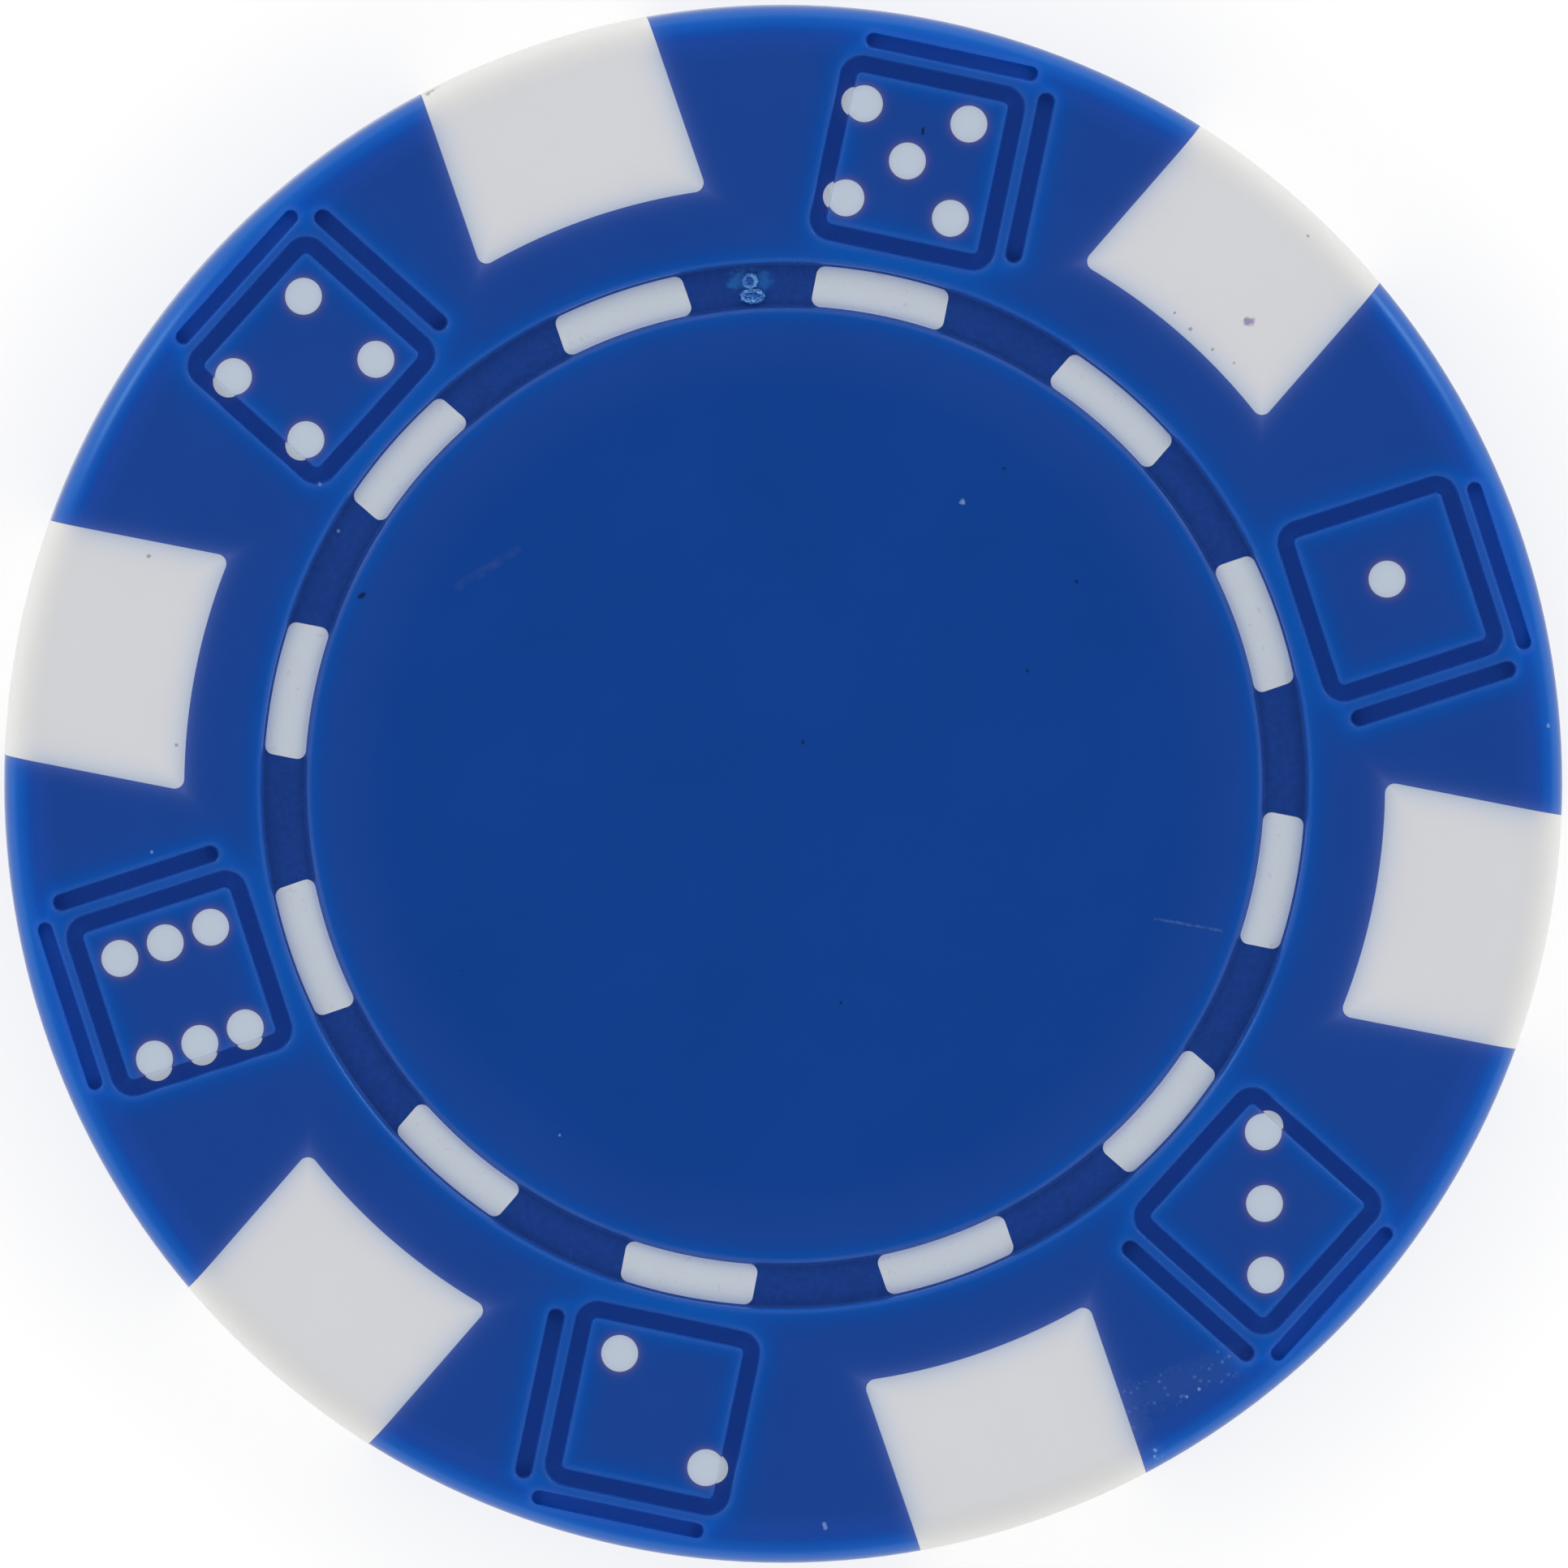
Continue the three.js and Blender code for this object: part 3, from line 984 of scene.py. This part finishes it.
def on_face_side(tree, place):
    """1 near a face and 0 on the chip's side wall."""
    level = add_node(tree, "ShaderNodeSeparateXYZ", [place]).outputs["Z"]
    wall_end = MIDDLE - RIM_RADIUS
    return ease(tree, maths(tree, "ABSOLUTE", level), wall_end, wall_end + WALL_FADE)


def speck(x, y, width):
    """A mark without length."""
    return (x, y), (x, y), width


def mark_masks(tree, at, marks):
    """One mask for a list of marks of the upper face, each a start, an end and a half width in mm."""
    upper = maths(tree, "MULTIPLY", at["Upper"], on_face_side(tree, at["Place"]))
    flat = vector_maths(tree, "MULTIPLY", at["Place"], (1, 1, 0))
    wobble = maths(tree, "MULTIPLY_ADD", noise(tree, flat, WOBBLE_SCALE, 3.0), 2 * WOBBLE, -WOBBLE)
    total = 0.0
    for start, end, width in marks:
        stroke = {"Start": (*start, 0), "End": (*end, 0), "Width": width}
        drawn = use_group(tree, mark, Place=flat, Wobble=wobble, **stroke)
        total = maths(tree, "MAXIMUM", total, drawn["Mask"])
    return maths(tree, "MULTIPLY", total, upper)


def paint_marks(tree, colour, at, marks, strength, tone):
    return tint(tree, colour, mark_masks(tree, at, marks), strength, tone)


# %% [markdown]
# ## Blue plastic
# Light leaks into the blue beside a groove, and a colour ramp turns the leaked light into a purer blue;
# this glow is painted. The ramp starts with the bare face at 0, peaks beside a groove, and falls back
# towards 1, in the narrow strips between two grooves, whose rounded lips catch light of their own. The
# rim has another ramp, by radius, a painted glow of light through the thin rounded rim, which is laid
# over the first one as a ratio to the bare face. Groove floors have their own tones and are pressed
# smoother, so they are glossier, and handling has polished the lips and the rim. A pale highlight is
# painted on the lips, and beside an edge spot or a pip a paler glow is painted, for light that the white
# scatters into the blue.

# %% Blue face and rim
BLUE_BARE = (25, 64, 144)
BLUE_RAMP = [
    (0.0, BLUE_BARE),
    (0.08, (19, 66, 148)),
    (0.16, (14, 69, 155)),
    (0.35, (9, 79, 169)),
    (1.0, (16, 66, 148)),
]
# Painted glow of light through the thin rounded rim, by radius.
RIM_RAMP = [
    (18.7, BLUE_BARE),
    (19.1, (27, 67, 153)),
    (19.3, (23, 67, 156)),
    (19.4, (11, 70, 162)),
    (19.5, (2, 74, 170)),
    (19.7, (6, 82, 174)),
    (19.8, (14, 83, 171)),
    (19.95, (22, 77, 156)),
]
BLUE_WALL = display_colour(14, 74, 160)
BLUE_LIP_HIGHLIGHT = display_colour(84, 95, 145)
BLUE_CENTRE = display_colour(12, 60, 140)
LEAK_SHARE = 0.46
LEAK_RADII = (CHIP_RADIUS + 0.1, CHIP_RADIUS - 1.2)
WALL_DEPTHS = (0.0, 0.6)
RIM_RADII = (18.6, 18.8)
LIP_HIGHLIGHT_SHARE = 0.24
CENTRE_RADII = (RING_INNER - 0.2, RING_INNER - 2.5)
CENTRE_SHARE = 0.9


def blue_face(tree, at, groove, mottle):
    """The bare face with its painted leaks of light, the painted glow of the rim, painted highlights on the
    lips and the label seat.
    """
    radius = at["Radius"]
    bare = display_colour(*BLUE_BARE)
    leak = maths(tree, "MULTIPLY", groove["Leak"], LEAK_SHARE)
    leak = maths(tree, "MULTIPLY", leak, ease(tree, radius, *LEAK_RADII))
    colour = colour_ramp(tree, leak, BLUE_RAMP, 0.0, 1.0)
    # Painted glow: the rim ramp makes the thin rounded rim a purer, brighter blue, as light through it
    # would.
    rim = colour_ramp(tree, radius, RIM_RAMP, RIM_RAMP[0][0], CHIP_RADIUS)
    rim = blend(tree, ease(tree, at["Depth"], *WALL_DEPTHS), rim, BLUE_WALL)
    rim = blend(tree, ease(tree, radius, *RIM_RADII), bare, rim)
    rim = blend(tree, 1.0, rim, bare, "DIVIDE")
    colour = blend(tree, 1.0, colour, rim, "MULTIPLY")
    # Painted highlight: the rounded lips are tinted pale, most of all round the label seat.
    colour = tint(tree, colour, maths(tree, "MULTIPLY", groove["Lip"], mottle), LIP_HIGHLIGHT_SHARE, BLUE_LIP_HIGHLIGHT)
    return tint(tree, colour, ease(tree, radius, *CENTRE_RADII), CENTRE_SHARE, BLUE_CENTRE)


# %% Blue groove floors
BLUE_RING_FLOOR = display_colour(29, 61, 136)
BLUE_DIE_FLOOR = display_colour(32, 74, 169)
BLUE_BAR_FLOOR = display_colour(34, 85, 193)
FLOOR_DEPTHS = (0.15, 0.21)
RIM_MARGIN = 0.3
RING_MARGIN = 0.2
BAR_RADII = (18.6, 19.3)
BAR_SHARE = 0.6


def floor_masks(tree, at):
    """A mask of all groove floors, and one of the disc that the ring groove ends."""
    on_face = maths(tree, "LESS_THAN", at["Radius"], CHIP_RADIUS - RIM_MARGIN)
    floors = maths(tree, "MULTIPLY", ease(tree, at["Depth"], *FLOOR_DEPTHS), on_face)
    return floors, maths(tree, "LESS_THAN", at["Radius"], RING_OUTER + RING_MARGIN)


def blue_floors(tree, colour, at, floors, ring):
    """Floors of the dice, brighter in the bars near the rim, and the floor of the ring groove."""
    near_rim = ease(tree, at["Radius"], *BAR_RADII)
    die_floor = tint(tree, BLUE_DIE_FLOOR, near_rim, BAR_SHARE, BLUE_BAR_FLOOR)
    return blend(tree, floors, colour, blend(tree, ring, die_floor, BLUE_RING_FLOOR))


# %% Painted glow of the white in the blue beside it
BLUE_GLOW_BESIDE_WHITE = display_colour(80, 98, 168)
BLUE_GLOW_BESIDE_PIP = display_colour(110, 92, 130)
SPOT_SHINE_REACH = 0.16
SPOT_SHINE_DEPTHS = (0.15, 0.05)
SPOT_SHINE = 0.6
PIP_SHINE_REACH = 0.07
PIP_SHINE = 0.5


def white_shine(tree, colour, at, inside):
    # Painted glow: the blue beside a spot and round each pip is tinted paler, standing in for light that
    # the white scatters into it.
    shine = fade(tree, maths(tree, "MULTIPLY", inside, -1.0), SPOT_SHINE_REACH)
    shine = maths(tree, "MULTIPLY", shine, ease(tree, at["Depth"], *SPOT_SHINE_DEPTHS))
    colour = tint(tree, colour, shine, SPOT_SHINE, BLUE_GLOW_BESIDE_WHITE)
    to_pip = use_group(tree, pip_distance, Place=at["Place"])["Distance"]
    shine = fade(tree, maths(tree, "SUBTRACT", to_pip, PIP_RADIUS), PIP_SHINE_REACH)
    return tint(tree, colour, shine, PIP_SHINE, BLUE_GLOW_BESIDE_PIP)


# %% Marks on the blue
DIRT = display_colour(20, 24, 50)
HALO_TONE = display_colour(42, 106, 180)
SMEAR_TONE = display_colour(130, 122, 165)
SCUFF_TONE = display_colour(140, 168, 215)
DARK_SPECKS = [
    ((-10.88, 4.87), (-10.82, 4.92), 0.1),
    speck(5.63, 8.13, 0.05),
    speck(7.48, 5.24, 0.06),
    speck(6.23, 2.95, 0.07),
    ((0.46, 1.16), (0.46, 1.1), 0.05),
    speck(-8.28, -4.73, 0.05),
    speck(1.44, -5.56, 0.06),
    ((3.54, 16.86), (3.54, 16.74), 0.05),
]
PALE_SPECKS = [
    speck(4.56, 7.28, 0.1),
    speck(-5.78, -8.96, 0.05),
    speck(-16.23, -1.67, 0.06),
    speck(-11.44, 6.55, 0.06),
    ((1.01, -18.95), (1.04, -19.05), 0.07),
    speck(19.6, 1.51, 0.07),
    ((10.62, -15.5), (10.64, -15.5), 0.05),
    speck(10.33, -15.69, 0.05),
    ((9.5, -17.05), (9.53, -17.08), 0.06),
    speck(9.5, -17.24, 0.05),
    speck(-11.93, 7.75, 0.07),
]
SCRATCHES = [
    ((9.5, -3.42), (11.22, -3.73), 0.045),
    ((9.85, -3.48), (10.35, -3.57), 0.05),
]
SMEAR = [((-8.36, 5.12), (-6.9, 6.05), 0.16)]
SCUFF_FIELD = [
    ((9.0, -15.6), (9.1, -16.4), 0.45),
    ((9.5, -15.6), (11.6, -14.75), 0.6),
    ((9.45, -17.05), (9.6, -17.2), 0.3),
]
GATE_HALO = [
    ((-1.15, 12.98), (-0.6, 12.95), 0.36),
    ((-1.35, 12.85), (-1.1, 13.0), 0.16),
]
DIRT_SHARE = 0.85
HALO_SHARE = 0.6
PALE_SHARE = 0.5
SCRATCH_SHARE = 0.27
SMEAR_SHARE = 0.09
SCUFF_DOTS = 0.4
SCUFF_VEIL = 0.06


def scuff_pattern(tree, place):
    """Small dots in loose clusters, over a faint veil."""
    dots = add_node(tree, "ShaderNodeTexVoronoi", distance="EUCLIDEAN")
    feed(tree, dots.inputs["Vector"], place)
    dots.inputs["Scale"].default_value = 5.5
    dotted = ease(tree, dots.outputs["Distance"], 0.34, 0.14)
    dotted = maths(tree, "MULTIPLY", dotted, ease(tree, noise(tree, place, 2.2, 2.0), 0.36, 0.58))
    return maths(tree, "MULTIPLY_ADD", dotted, SCUFF_DOTS, SCUFF_VEIL)


def blue_wear(tree, colour, at):
    place = at["Place"]
    colour = paint_marks(tree, colour, at, DARK_SPECKS, DIRT_SHARE, DIRT)
    colour = paint_marks(tree, colour, at, GATE_HALO, HALO_SHARE, HALO_TONE)
    patchy = ease(tree, noise(tree, place, 2.6, 3.0), 0.3, 0.75)
    smear = maths(tree, "MULTIPLY", mark_masks(tree, at, SMEAR), patchy)
    colour = tint(tree, colour, smear, SMEAR_SHARE, SMEAR_TONE)
    broken = ease(tree, noise(tree, place, 9.0, 2.0), 0.22, 0.68)
    scratch = maths(tree, "MULTIPLY", mark_masks(tree, at, SCRATCHES), broken)
    pale = maths(tree, "MULTIPLY_ADD", scratch, SCRATCH_SHARE, mark_masks(tree, at, PALE_SPECKS))
    scuffed = maths(tree, "MULTIPLY", mark_masks(tree, at, SCUFF_FIELD), scuff_pattern(tree, place))
    return tint(tree, colour, maths(tree, "ADD", pale, scuffed), PALE_SHARE, SCUFF_TONE)


# %% Blue finish
BLUE_SHINE_LEVEL = 0.5
BLUE_SHINE_TINT = (0.3, 0.65, 1, 1)
BLUE_MOTTLE = 0.08
RING_SPECKLE = 0.09
MATT_SPREAD = 0.12
BLUE_MATT = 0.3
SMOOTH_RADII = (19.1, 19.5)
SMOOTH_RIM = 0.12
SMOOTH_LIP = 0.14
SMOOTH_FLOOR = 0.1


def blue_roughness(tree, radius, lip, mottle, floors):
    matt = maths(tree, "MULTIPLY_ADD", mottle, MATT_SPREAD, BLUE_MATT)
    polished_rim = maths(tree, "MULTIPLY", ease(tree, radius, *SMOOTH_RADII), SMOOTH_RIM)
    polished_lip = maths(tree, "MULTIPLY", maths(tree, "MINIMUM", lip, 1.0), SMOOTH_LIP)
    matt = maths(tree, "SUBTRACT", matt, maths(tree, "MAXIMUM", polished_rim, polished_lip))
    return maths(tree, "MULTIPLY_ADD", floors, -SMOOTH_FLOOR, matt)


def make_blue_plastic():
    material, tree, shader = new_plastic("blue_plastic", BLUE_SHINE_LEVEL, BLUE_SHINE_TINT)
    at = use_group(tree, face_place)
    around = {"Radius": at["Radius"], "Angle": at["Angle"]}
    die = use_group(tree, sixth_place, Turn=math.radians(DIE_TURN), **around)
    spot = use_group(tree, sixth_place, Turn=math.radians(FIRST_SPOT), **around)
    groove = use_group(tree, groove_leak, Radius=at["Radius"], Across=die["Across"], Out=die["Out"])
    inside = use_group(tree, spot_depth, Radius=at["Radius"], Across=spot["Across"])["Inside"]
    grain = use_group(tree, moulded_grain, Place=at["Place"])
    floors, ring = floor_masks(tree, at)

    colour = blue_face(tree, at, groove, grain["Mottle"])
    colour = blue_floors(tree, colour, at, floors, ring)
    colour = white_shine(tree, colour, at, inside)
    colour = vary(tree, colour, grain["Mottle"], BLUE_MOTTLE)
    speckle = ease(tree, noise(tree, at["Place"], 7.0, 3.0, 0.65), 0.3, 0.7)
    ring_floor = maths(tree, "MULTIPLY", floors, ring)
    colour = blend(tree, ring_floor, colour, vary(tree, colour, speckle, RING_SPECKLE))
    feed(tree, shader.inputs["Base Color"], blue_wear(tree, colour, at))

    roughness = blue_roughness(tree, at["Radius"], groove["Lip"], grain["Mottle"], floors)
    feed(tree, shader.inputs["Roughness"], roughness)
    add_grain(tree, shader, grain)
    return material


# %% [markdown]
# ## White plastic
# The same white moulding looks different by size: a spot is thick and nearly neutral, a dash is a thin
# island in the ring groove and a pip is smaller still, so more blue light shines into them and less white
# light comes back; that bluer, darker shading is painted into their colour. Spots are painted cooler
# towards their edges as the same painted shade and blue light, and warmer on the rim, and the part of a
# pip that a groove has laid bare is painted lightest, because little light reaches it.

# %% White spots, pips and dashes
WHITE_SPOT = display_colour(209, 210, 214)
WHITE_EDGE = display_colour(168, 181, 205)
WHITE_RIM = display_colour(206, 205, 203)
WHITE_DASH = display_colour(199, 207, 217)
WHITE_DASH_EDGE = display_colour(142, 164, 224)
WHITE_PIP = display_colour(184, 195, 210)
WHITE_PIP_EDGE = display_colour(150, 168, 195)
WHITE_SUNK = display_colour(222, 230, 239)
SPOT_EDGE_REACH = 0.26
WHITE_RIM_WIDTH = 1.2
PIP_MARGIN = 0.3
PIP_EDGE_REACH = 0.1
PIP_EDGE_SHARE = 0.5
SUNK_DEPTHS = (0.08, 0.16)
DASH_EDGE_REACH = 0.12
DASH_EDGE_SHARE = 0.6
DASH_MARGIN = 0.3


def white_spots(tree, radius, inside):
    # Painted shade and blue light: a spot's edges are painted darker and bluer, where blue light from the
    # jacket reaches them.
    colour = blend(tree, fade(tree, inside, SPOT_EDGE_REACH), WHITE_SPOT, WHITE_EDGE)
    return blend(tree, ease(tree, radius, CHIP_RADIUS - WHITE_RIM_WIDTH, CHIP_RADIUS), colour, WHITE_RIM)


def white_pips(tree, colour, at, across):
    beside_die = maths(tree, "LESS_THAN", maths(tree, "ABSOLUTE", across), SPOT_HALF)
    off_rim = maths(tree, "LESS_THAN", at["Radius"], CORE_RADIUS + PIP_MARGIN)
    zone = maths(tree, "MULTIPLY", beside_die, off_rim)
    distance = use_group(tree, pip_distance, Place=at["Place"])["Distance"]
    # Painted shade and blue light: a pip is painted bluer and darker than a spot, most of all at its edge.
    edge = fade(tree, maths(tree, "SUBTRACT", PIP_RADIUS, distance), PIP_EDGE_REACH)
    colour = blend(tree, zone, colour, tint(tree, WHITE_PIP, edge, PIP_EDGE_SHARE, WHITE_PIP_EDGE))
    sunk = maths(tree, "MULTIPLY", zone, ease(tree, at["Depth"], *SUNK_DEPTHS))
    return blend(tree, sunk, colour, WHITE_SUNK)


def white_dashes(tree, colour, radius, zone):
    # Painted shade and blue light: a dash is painted bluer than a spot, and bluer still along its edges by
    # the groove walls.
    from_inner = maths(tree, "SUBTRACT", radius, DASH_INNER)
    from_outer = maths(tree, "SUBTRACT", DASH_OUTER, radius)
    edge = fade(tree, maths(tree, "MINIMUM", from_inner, from_outer), DASH_EDGE_REACH)
    return blend(tree, zone, colour, tint(tree, WHITE_DASH, edge, DASH_EDGE_SHARE, WHITE_DASH_EDGE))


# %% White finish
WHITE_SHINE_LEVEL = 0.35
PLAIN_TINT = (1, 1, 1, 1)
WHITE_MOTTLE = 0.03
WHITE_MATT = 0.4
PIT_TONE = display_colour(150, 148, 142)
BROWN_TONE = display_colour(120, 95, 80)
INK_TONE = display_colour(112, 84, 152)
PIT_SHARE = 0.3
BROWN_SHARE = 0.6
INK_SHARE = 0.7
INK_DOT = [((11.86, 11.91), (11.93, 11.9), 0.15)]
BROWN_SPECKS = [
    speck(10.0, 12.13, 0.06),
    speck(10.39, 11.71, 0.07),
    speck(10.97, 11.19, 0.05),
    speck(11.51, 10.84, 0.06),
    speck(13.41, 14.1, 0.06),
    speck(-16.31, 5.91, 0.08),
    speck(-15.6, 1.06, 0.07),
    ((-9.15, 17.75), (-8.9, 17.95), 0.07),
    speck(-4.32, 14.69, 0.08),
]


def make_white_plastic():
    material, tree, shader = new_plastic("white_plastic", WHITE_SHINE_LEVEL, PLAIN_TINT)
    at = use_group(tree, face_place)
    around = {"Radius": at["Radius"], "Angle": at["Angle"]}
    die = use_group(tree, sixth_place, Turn=math.radians(FIRST_DIE), **around)
    spot = use_group(tree, sixth_place, Turn=math.radians(FIRST_SPOT), **around)
    inside = use_group(tree, spot_depth, Radius=at["Radius"], Across=spot["Across"])["Inside"]
    grain = use_group(tree, moulded_grain, Place=at["Place"])
    dash_zone = maths(tree, "LESS_THAN", at["Radius"], RING_OUTER + DASH_MARGIN)

    colour = white_spots(tree, at["Radius"], inside)
    colour = white_pips(tree, colour, at, die["Across"])
    colour = white_dashes(tree, colour, at["Radius"], dash_zone)
    colour = vary(tree, colour, grain["Mottle"], WHITE_MOTTLE)
    pits = ease(tree, noise(tree, at["Place"], 5.0, 3.0, 0.6), 0.62, 0.76)
    colour = tint(tree, colour, maths(tree, "MULTIPLY", pits, dash_zone), PIT_SHARE, PIT_TONE)
    colour = paint_marks(tree, colour, at, BROWN_SPECKS, BROWN_SHARE, BROWN_TONE)
    colour = paint_marks(tree, colour, at, INK_DOT, INK_SHARE, INK_TONE)
    feed(tree, shader.inputs["Base Color"], colour)

    roughness = maths(tree, "MULTIPLY_ADD", grain["Mottle"], MATT_SPREAD, WHITE_MATT)
    feed(tree, shader.inputs["Roughness"], roughness)
    add_grain(tree, shader, grain)
    return material


# %% [markdown]
# ## Torn plastic
# Where plastic tears it turns pale, most of all on sharp crests. The scar's colour follows its height
# above the groove floor, broken up by noise.

# %% Gate finish
TORN_SHINE_LEVEL = 0.4
TORN_SHINE_TINT = (0.6, 0.8, 1, 1)
TORN_FOOT = display_colour(28, 84, 172)
TORN_CREST = display_colour(112, 170, 228)
TORN_HEIGHTS = (0.1, 0.2)
RAGGED_HEIGHT = 0.16
TORN_MATT = 0.25
TORN_MATT_SPREAD = 0.3


def make_torn_plastic():
    material, tree, shader = new_plastic("torn_plastic", TORN_SHINE_LEVEL, TORN_SHINE_TINT)
    at = use_group(tree, face_place)
    crown = maths(tree, "SUBTRACT", RING_DEPTH, at["Depth"])
    ragged = noise(tree, at["Place"], 6.0, 3.0)
    pale = ease(tree, maths(tree, "MULTIPLY_ADD", ragged, RAGGED_HEIGHT, crown), *TORN_HEIGHTS)
    feed(tree, shader.inputs["Base Color"], blend(tree, pale, TORN_FOOT, TORN_CREST))
    roughness = maths(tree, "MULTIPLY_ADD", ragged, TORN_MATT_SPREAD, TORN_MATT)
    feed(tree, shader.inputs["Roughness"], roughness)
    return material


# %% [markdown]
# ## Slug steel
# The weight is a stamped disc that the core hides. It still gets a finish: bare steel with fine brushed
# streaks along X.

# %% Steel finish
STEEL_SHINE_LEVEL = 0.5
STEEL_DARK = (0.42, 0.43, 0.45, 1)
STEEL_LIGHT = (0.66, 0.67, 0.69, 1)
STREAKS = (40, 2000, 2000)
STEEL_MATT = 0.25
STEEL_MATT_SPREAD = 0.2


def make_slug_steel():
    material, tree, shader = new_plastic("slug_steel", STEEL_SHINE_LEVEL, PLAIN_TINT)
    shader.inputs["Metallic"].default_value = 1
    spot = add_node(tree, "ShaderNodeTexCoord").outputs["Object"]
    streak = noise(tree, vector_maths(tree, "MULTIPLY", spot, STREAKS), 1.0, 3.0)
    feed(tree, shader.inputs["Base Color"], blend(tree, streak, STEEL_DARK, STEEL_LIGHT))
    roughness = maths(tree, "MULTIPLY_ADD", streak, STEEL_MATT_SPREAD, STEEL_MATT)
    feed(tree, shader.inputs["Roughness"], roughness)
    return material


dress(jacket, make_blue_plastic())
dress(core, make_white_plastic())
dress(gate, make_torn_plastic())
dress(frame["nodes"]["steel_slug"], make_slug_steel())

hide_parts("blue_jacket")
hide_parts("white_core")
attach(jacket, "root")
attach(core, "root")
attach(gate, "root")

# %% [markdown]
# ## Floor, light and camera
# The chip lies on a plain white floor under a soft dome that is bright near the horizon and dark
# overhead, as in a light tent that the camera looks into from above, so the face stays deep blue. Two
# small, weak soft boxes stand low behind the chip, one on each side, and draw highlights on the rounded
# lips and the rim that face them.

# %% Floor
FLOOR_SIZE = 4
FLOOR_COLOUR = (0.95, 0.95, 0.95, 1)
FLOOR_LIFT = 0.65
FLOOR_GLOW = 1.08


def make_floor_white():
    """White paper; seen directly or in a reflection, part of its light is its own, so it stays white."""
    material = bpy.data.materials.new("floor_white")
    material.use_nodes = True
    tree = material.node_tree
    tree.nodes.clear()
    paper = add_node(tree, "ShaderNodeBsdfDiffuse", [FLOOR_COLOUR])
    own_light = add_node(tree, "ShaderNodeEmission", [(1, 1, 1, 1), FLOOR_GLOW])
    path = add_node(tree, "ShaderNodeLightPath").outputs
    seen = maths(tree, "MAXIMUM", path["Is Camera Ray"], path["Is Glossy Ray"])
    seen = maths(tree, "MAXIMUM", seen, path["Is Transmission Ray"])
    share = maths(tree, "MULTIPLY", seen, FLOOR_LIFT)
    mixed = add_node(tree, "ShaderNodeMixShader", [share, paper.outputs[0], own_light.outputs[0]])
    add_node(tree, "ShaderNodeOutputMaterial", [mixed.outputs[0]])
    return material


bpy.ops.mesh.primitive_plane_add(size=FLOOR_SIZE, location=(0, 0, 0))
floor = bpy.context.object
floor.name = "floor"
dress(floor, make_floor_white())

# %% Dome
DOME_LIGHT = 2.06
DOME_REFLECTED = 0.05
DOME_HEIGHTS = (0.8, 0.55)
DOME_TOP = (0.05, 0.05, 0.05, 1)
DOME_SIDE = (1, 1, 1, 1)


def make_tent():
    """A dome that is bright low down; in reflections it is a dim room, so that gloss stays clear."""
    world = bpy.data.worlds.new("tent")
    world.use_nodes = True
    tree = world.node_tree
    tree.nodes.clear()
    direction = add_node(tree, "ShaderNodeTexCoord").outputs["Generated"]
    height = add_node(tree, "ShaderNodeSeparateXYZ", [direction]).outputs["Z"]
    tone = blend(tree, ease(tree, height, *DOME_HEIGHTS), DOME_TOP, DOME_SIDE)
    path = add_node(tree, "ShaderNodeLightPath").outputs
    strength = maths(tree, "MULTIPLY_ADD", path["Is Glossy Ray"], DOME_REFLECTED - DOME_LIGHT, DOME_LIGHT)
    light = add_node(tree, "ShaderNodeBackground", [tone, strength])
    add_node(tree, "ShaderNodeOutputWorld", [light.outputs[0]])
    return world


bpy.context.scene.world = make_tent()

# %% Soft boxes
BOX_TURNS = [34, 148]
BOX_HEIGHT = 8
BOX_DISTANCE = 0.35
BOX_SIZE = 0.08
BOX_POWER = 0.12


def soft_box(turn):
    """A square lamp that looks at the chip from the given direction."""
    turn = math.radians(turn)
    lift = math.radians(BOX_HEIGHT)
    flat = BOX_DISTANCE * math.cos(lift)
    place = (flat * math.cos(turn), flat * math.sin(turn), BOX_DISTANCE * math.sin(lift))
    tip = (0, math.pi / 2 - lift, turn)
    bpy.ops.object.light_add(type="AREA", location=place, rotation=tip)
    lamp = bpy.context.object
    lamp.name = "soft_box"
    lamp.data.size = BOX_SIZE
    lamp.data.energy = BOX_POWER
    return lamp


for turn in BOX_TURNS:
    print("soft box at", [round(value, 3) for value in soft_box(turn).location])

# %% Camera
PHOTO_SIZE = 1932
PHOTO_RADIUS = 960.4
LENS = 800
SENSOR = 36
NEAREST_SEEN = 0.005
LEAN_LEFT = 0.029
LEAN_UP = 0.036
SHIFT_LEFT = -0.023
SHIFT_UP = 0.0075
view_width = 2 * CHIP_RADIUS * PHOTO_SIZE / (2 * PHOTO_RADIUS)
distance = view_width * LENS / SENSOR
camera_data = bpy.data.cameras.new("camera")
camera_data.lens = LENS
camera_data.sensor_width = SENSOR
camera_data.clip_start = NEAREST_SEEN
camera = bpy.data.objects.new("camera", camera_data)
bpy.context.scene.collection.objects.link(camera)
camera.location = (
    (-LEAN_LEFT * distance - SHIFT_LEFT) * MM,
    (LEAN_UP * distance + SHIFT_UP) * MM,
    (distance + MIDDLE) * MM,
)
camera.rotation_euler = (-math.atan(LEAN_UP), -math.atan(LEAN_LEFT), 0)
print(f"camera {distance * MM:.3f} m above the chip's middle")
bpy.context.scene.camera = camera
bpy.context.scene.view_settings.view_transform = "Standard"
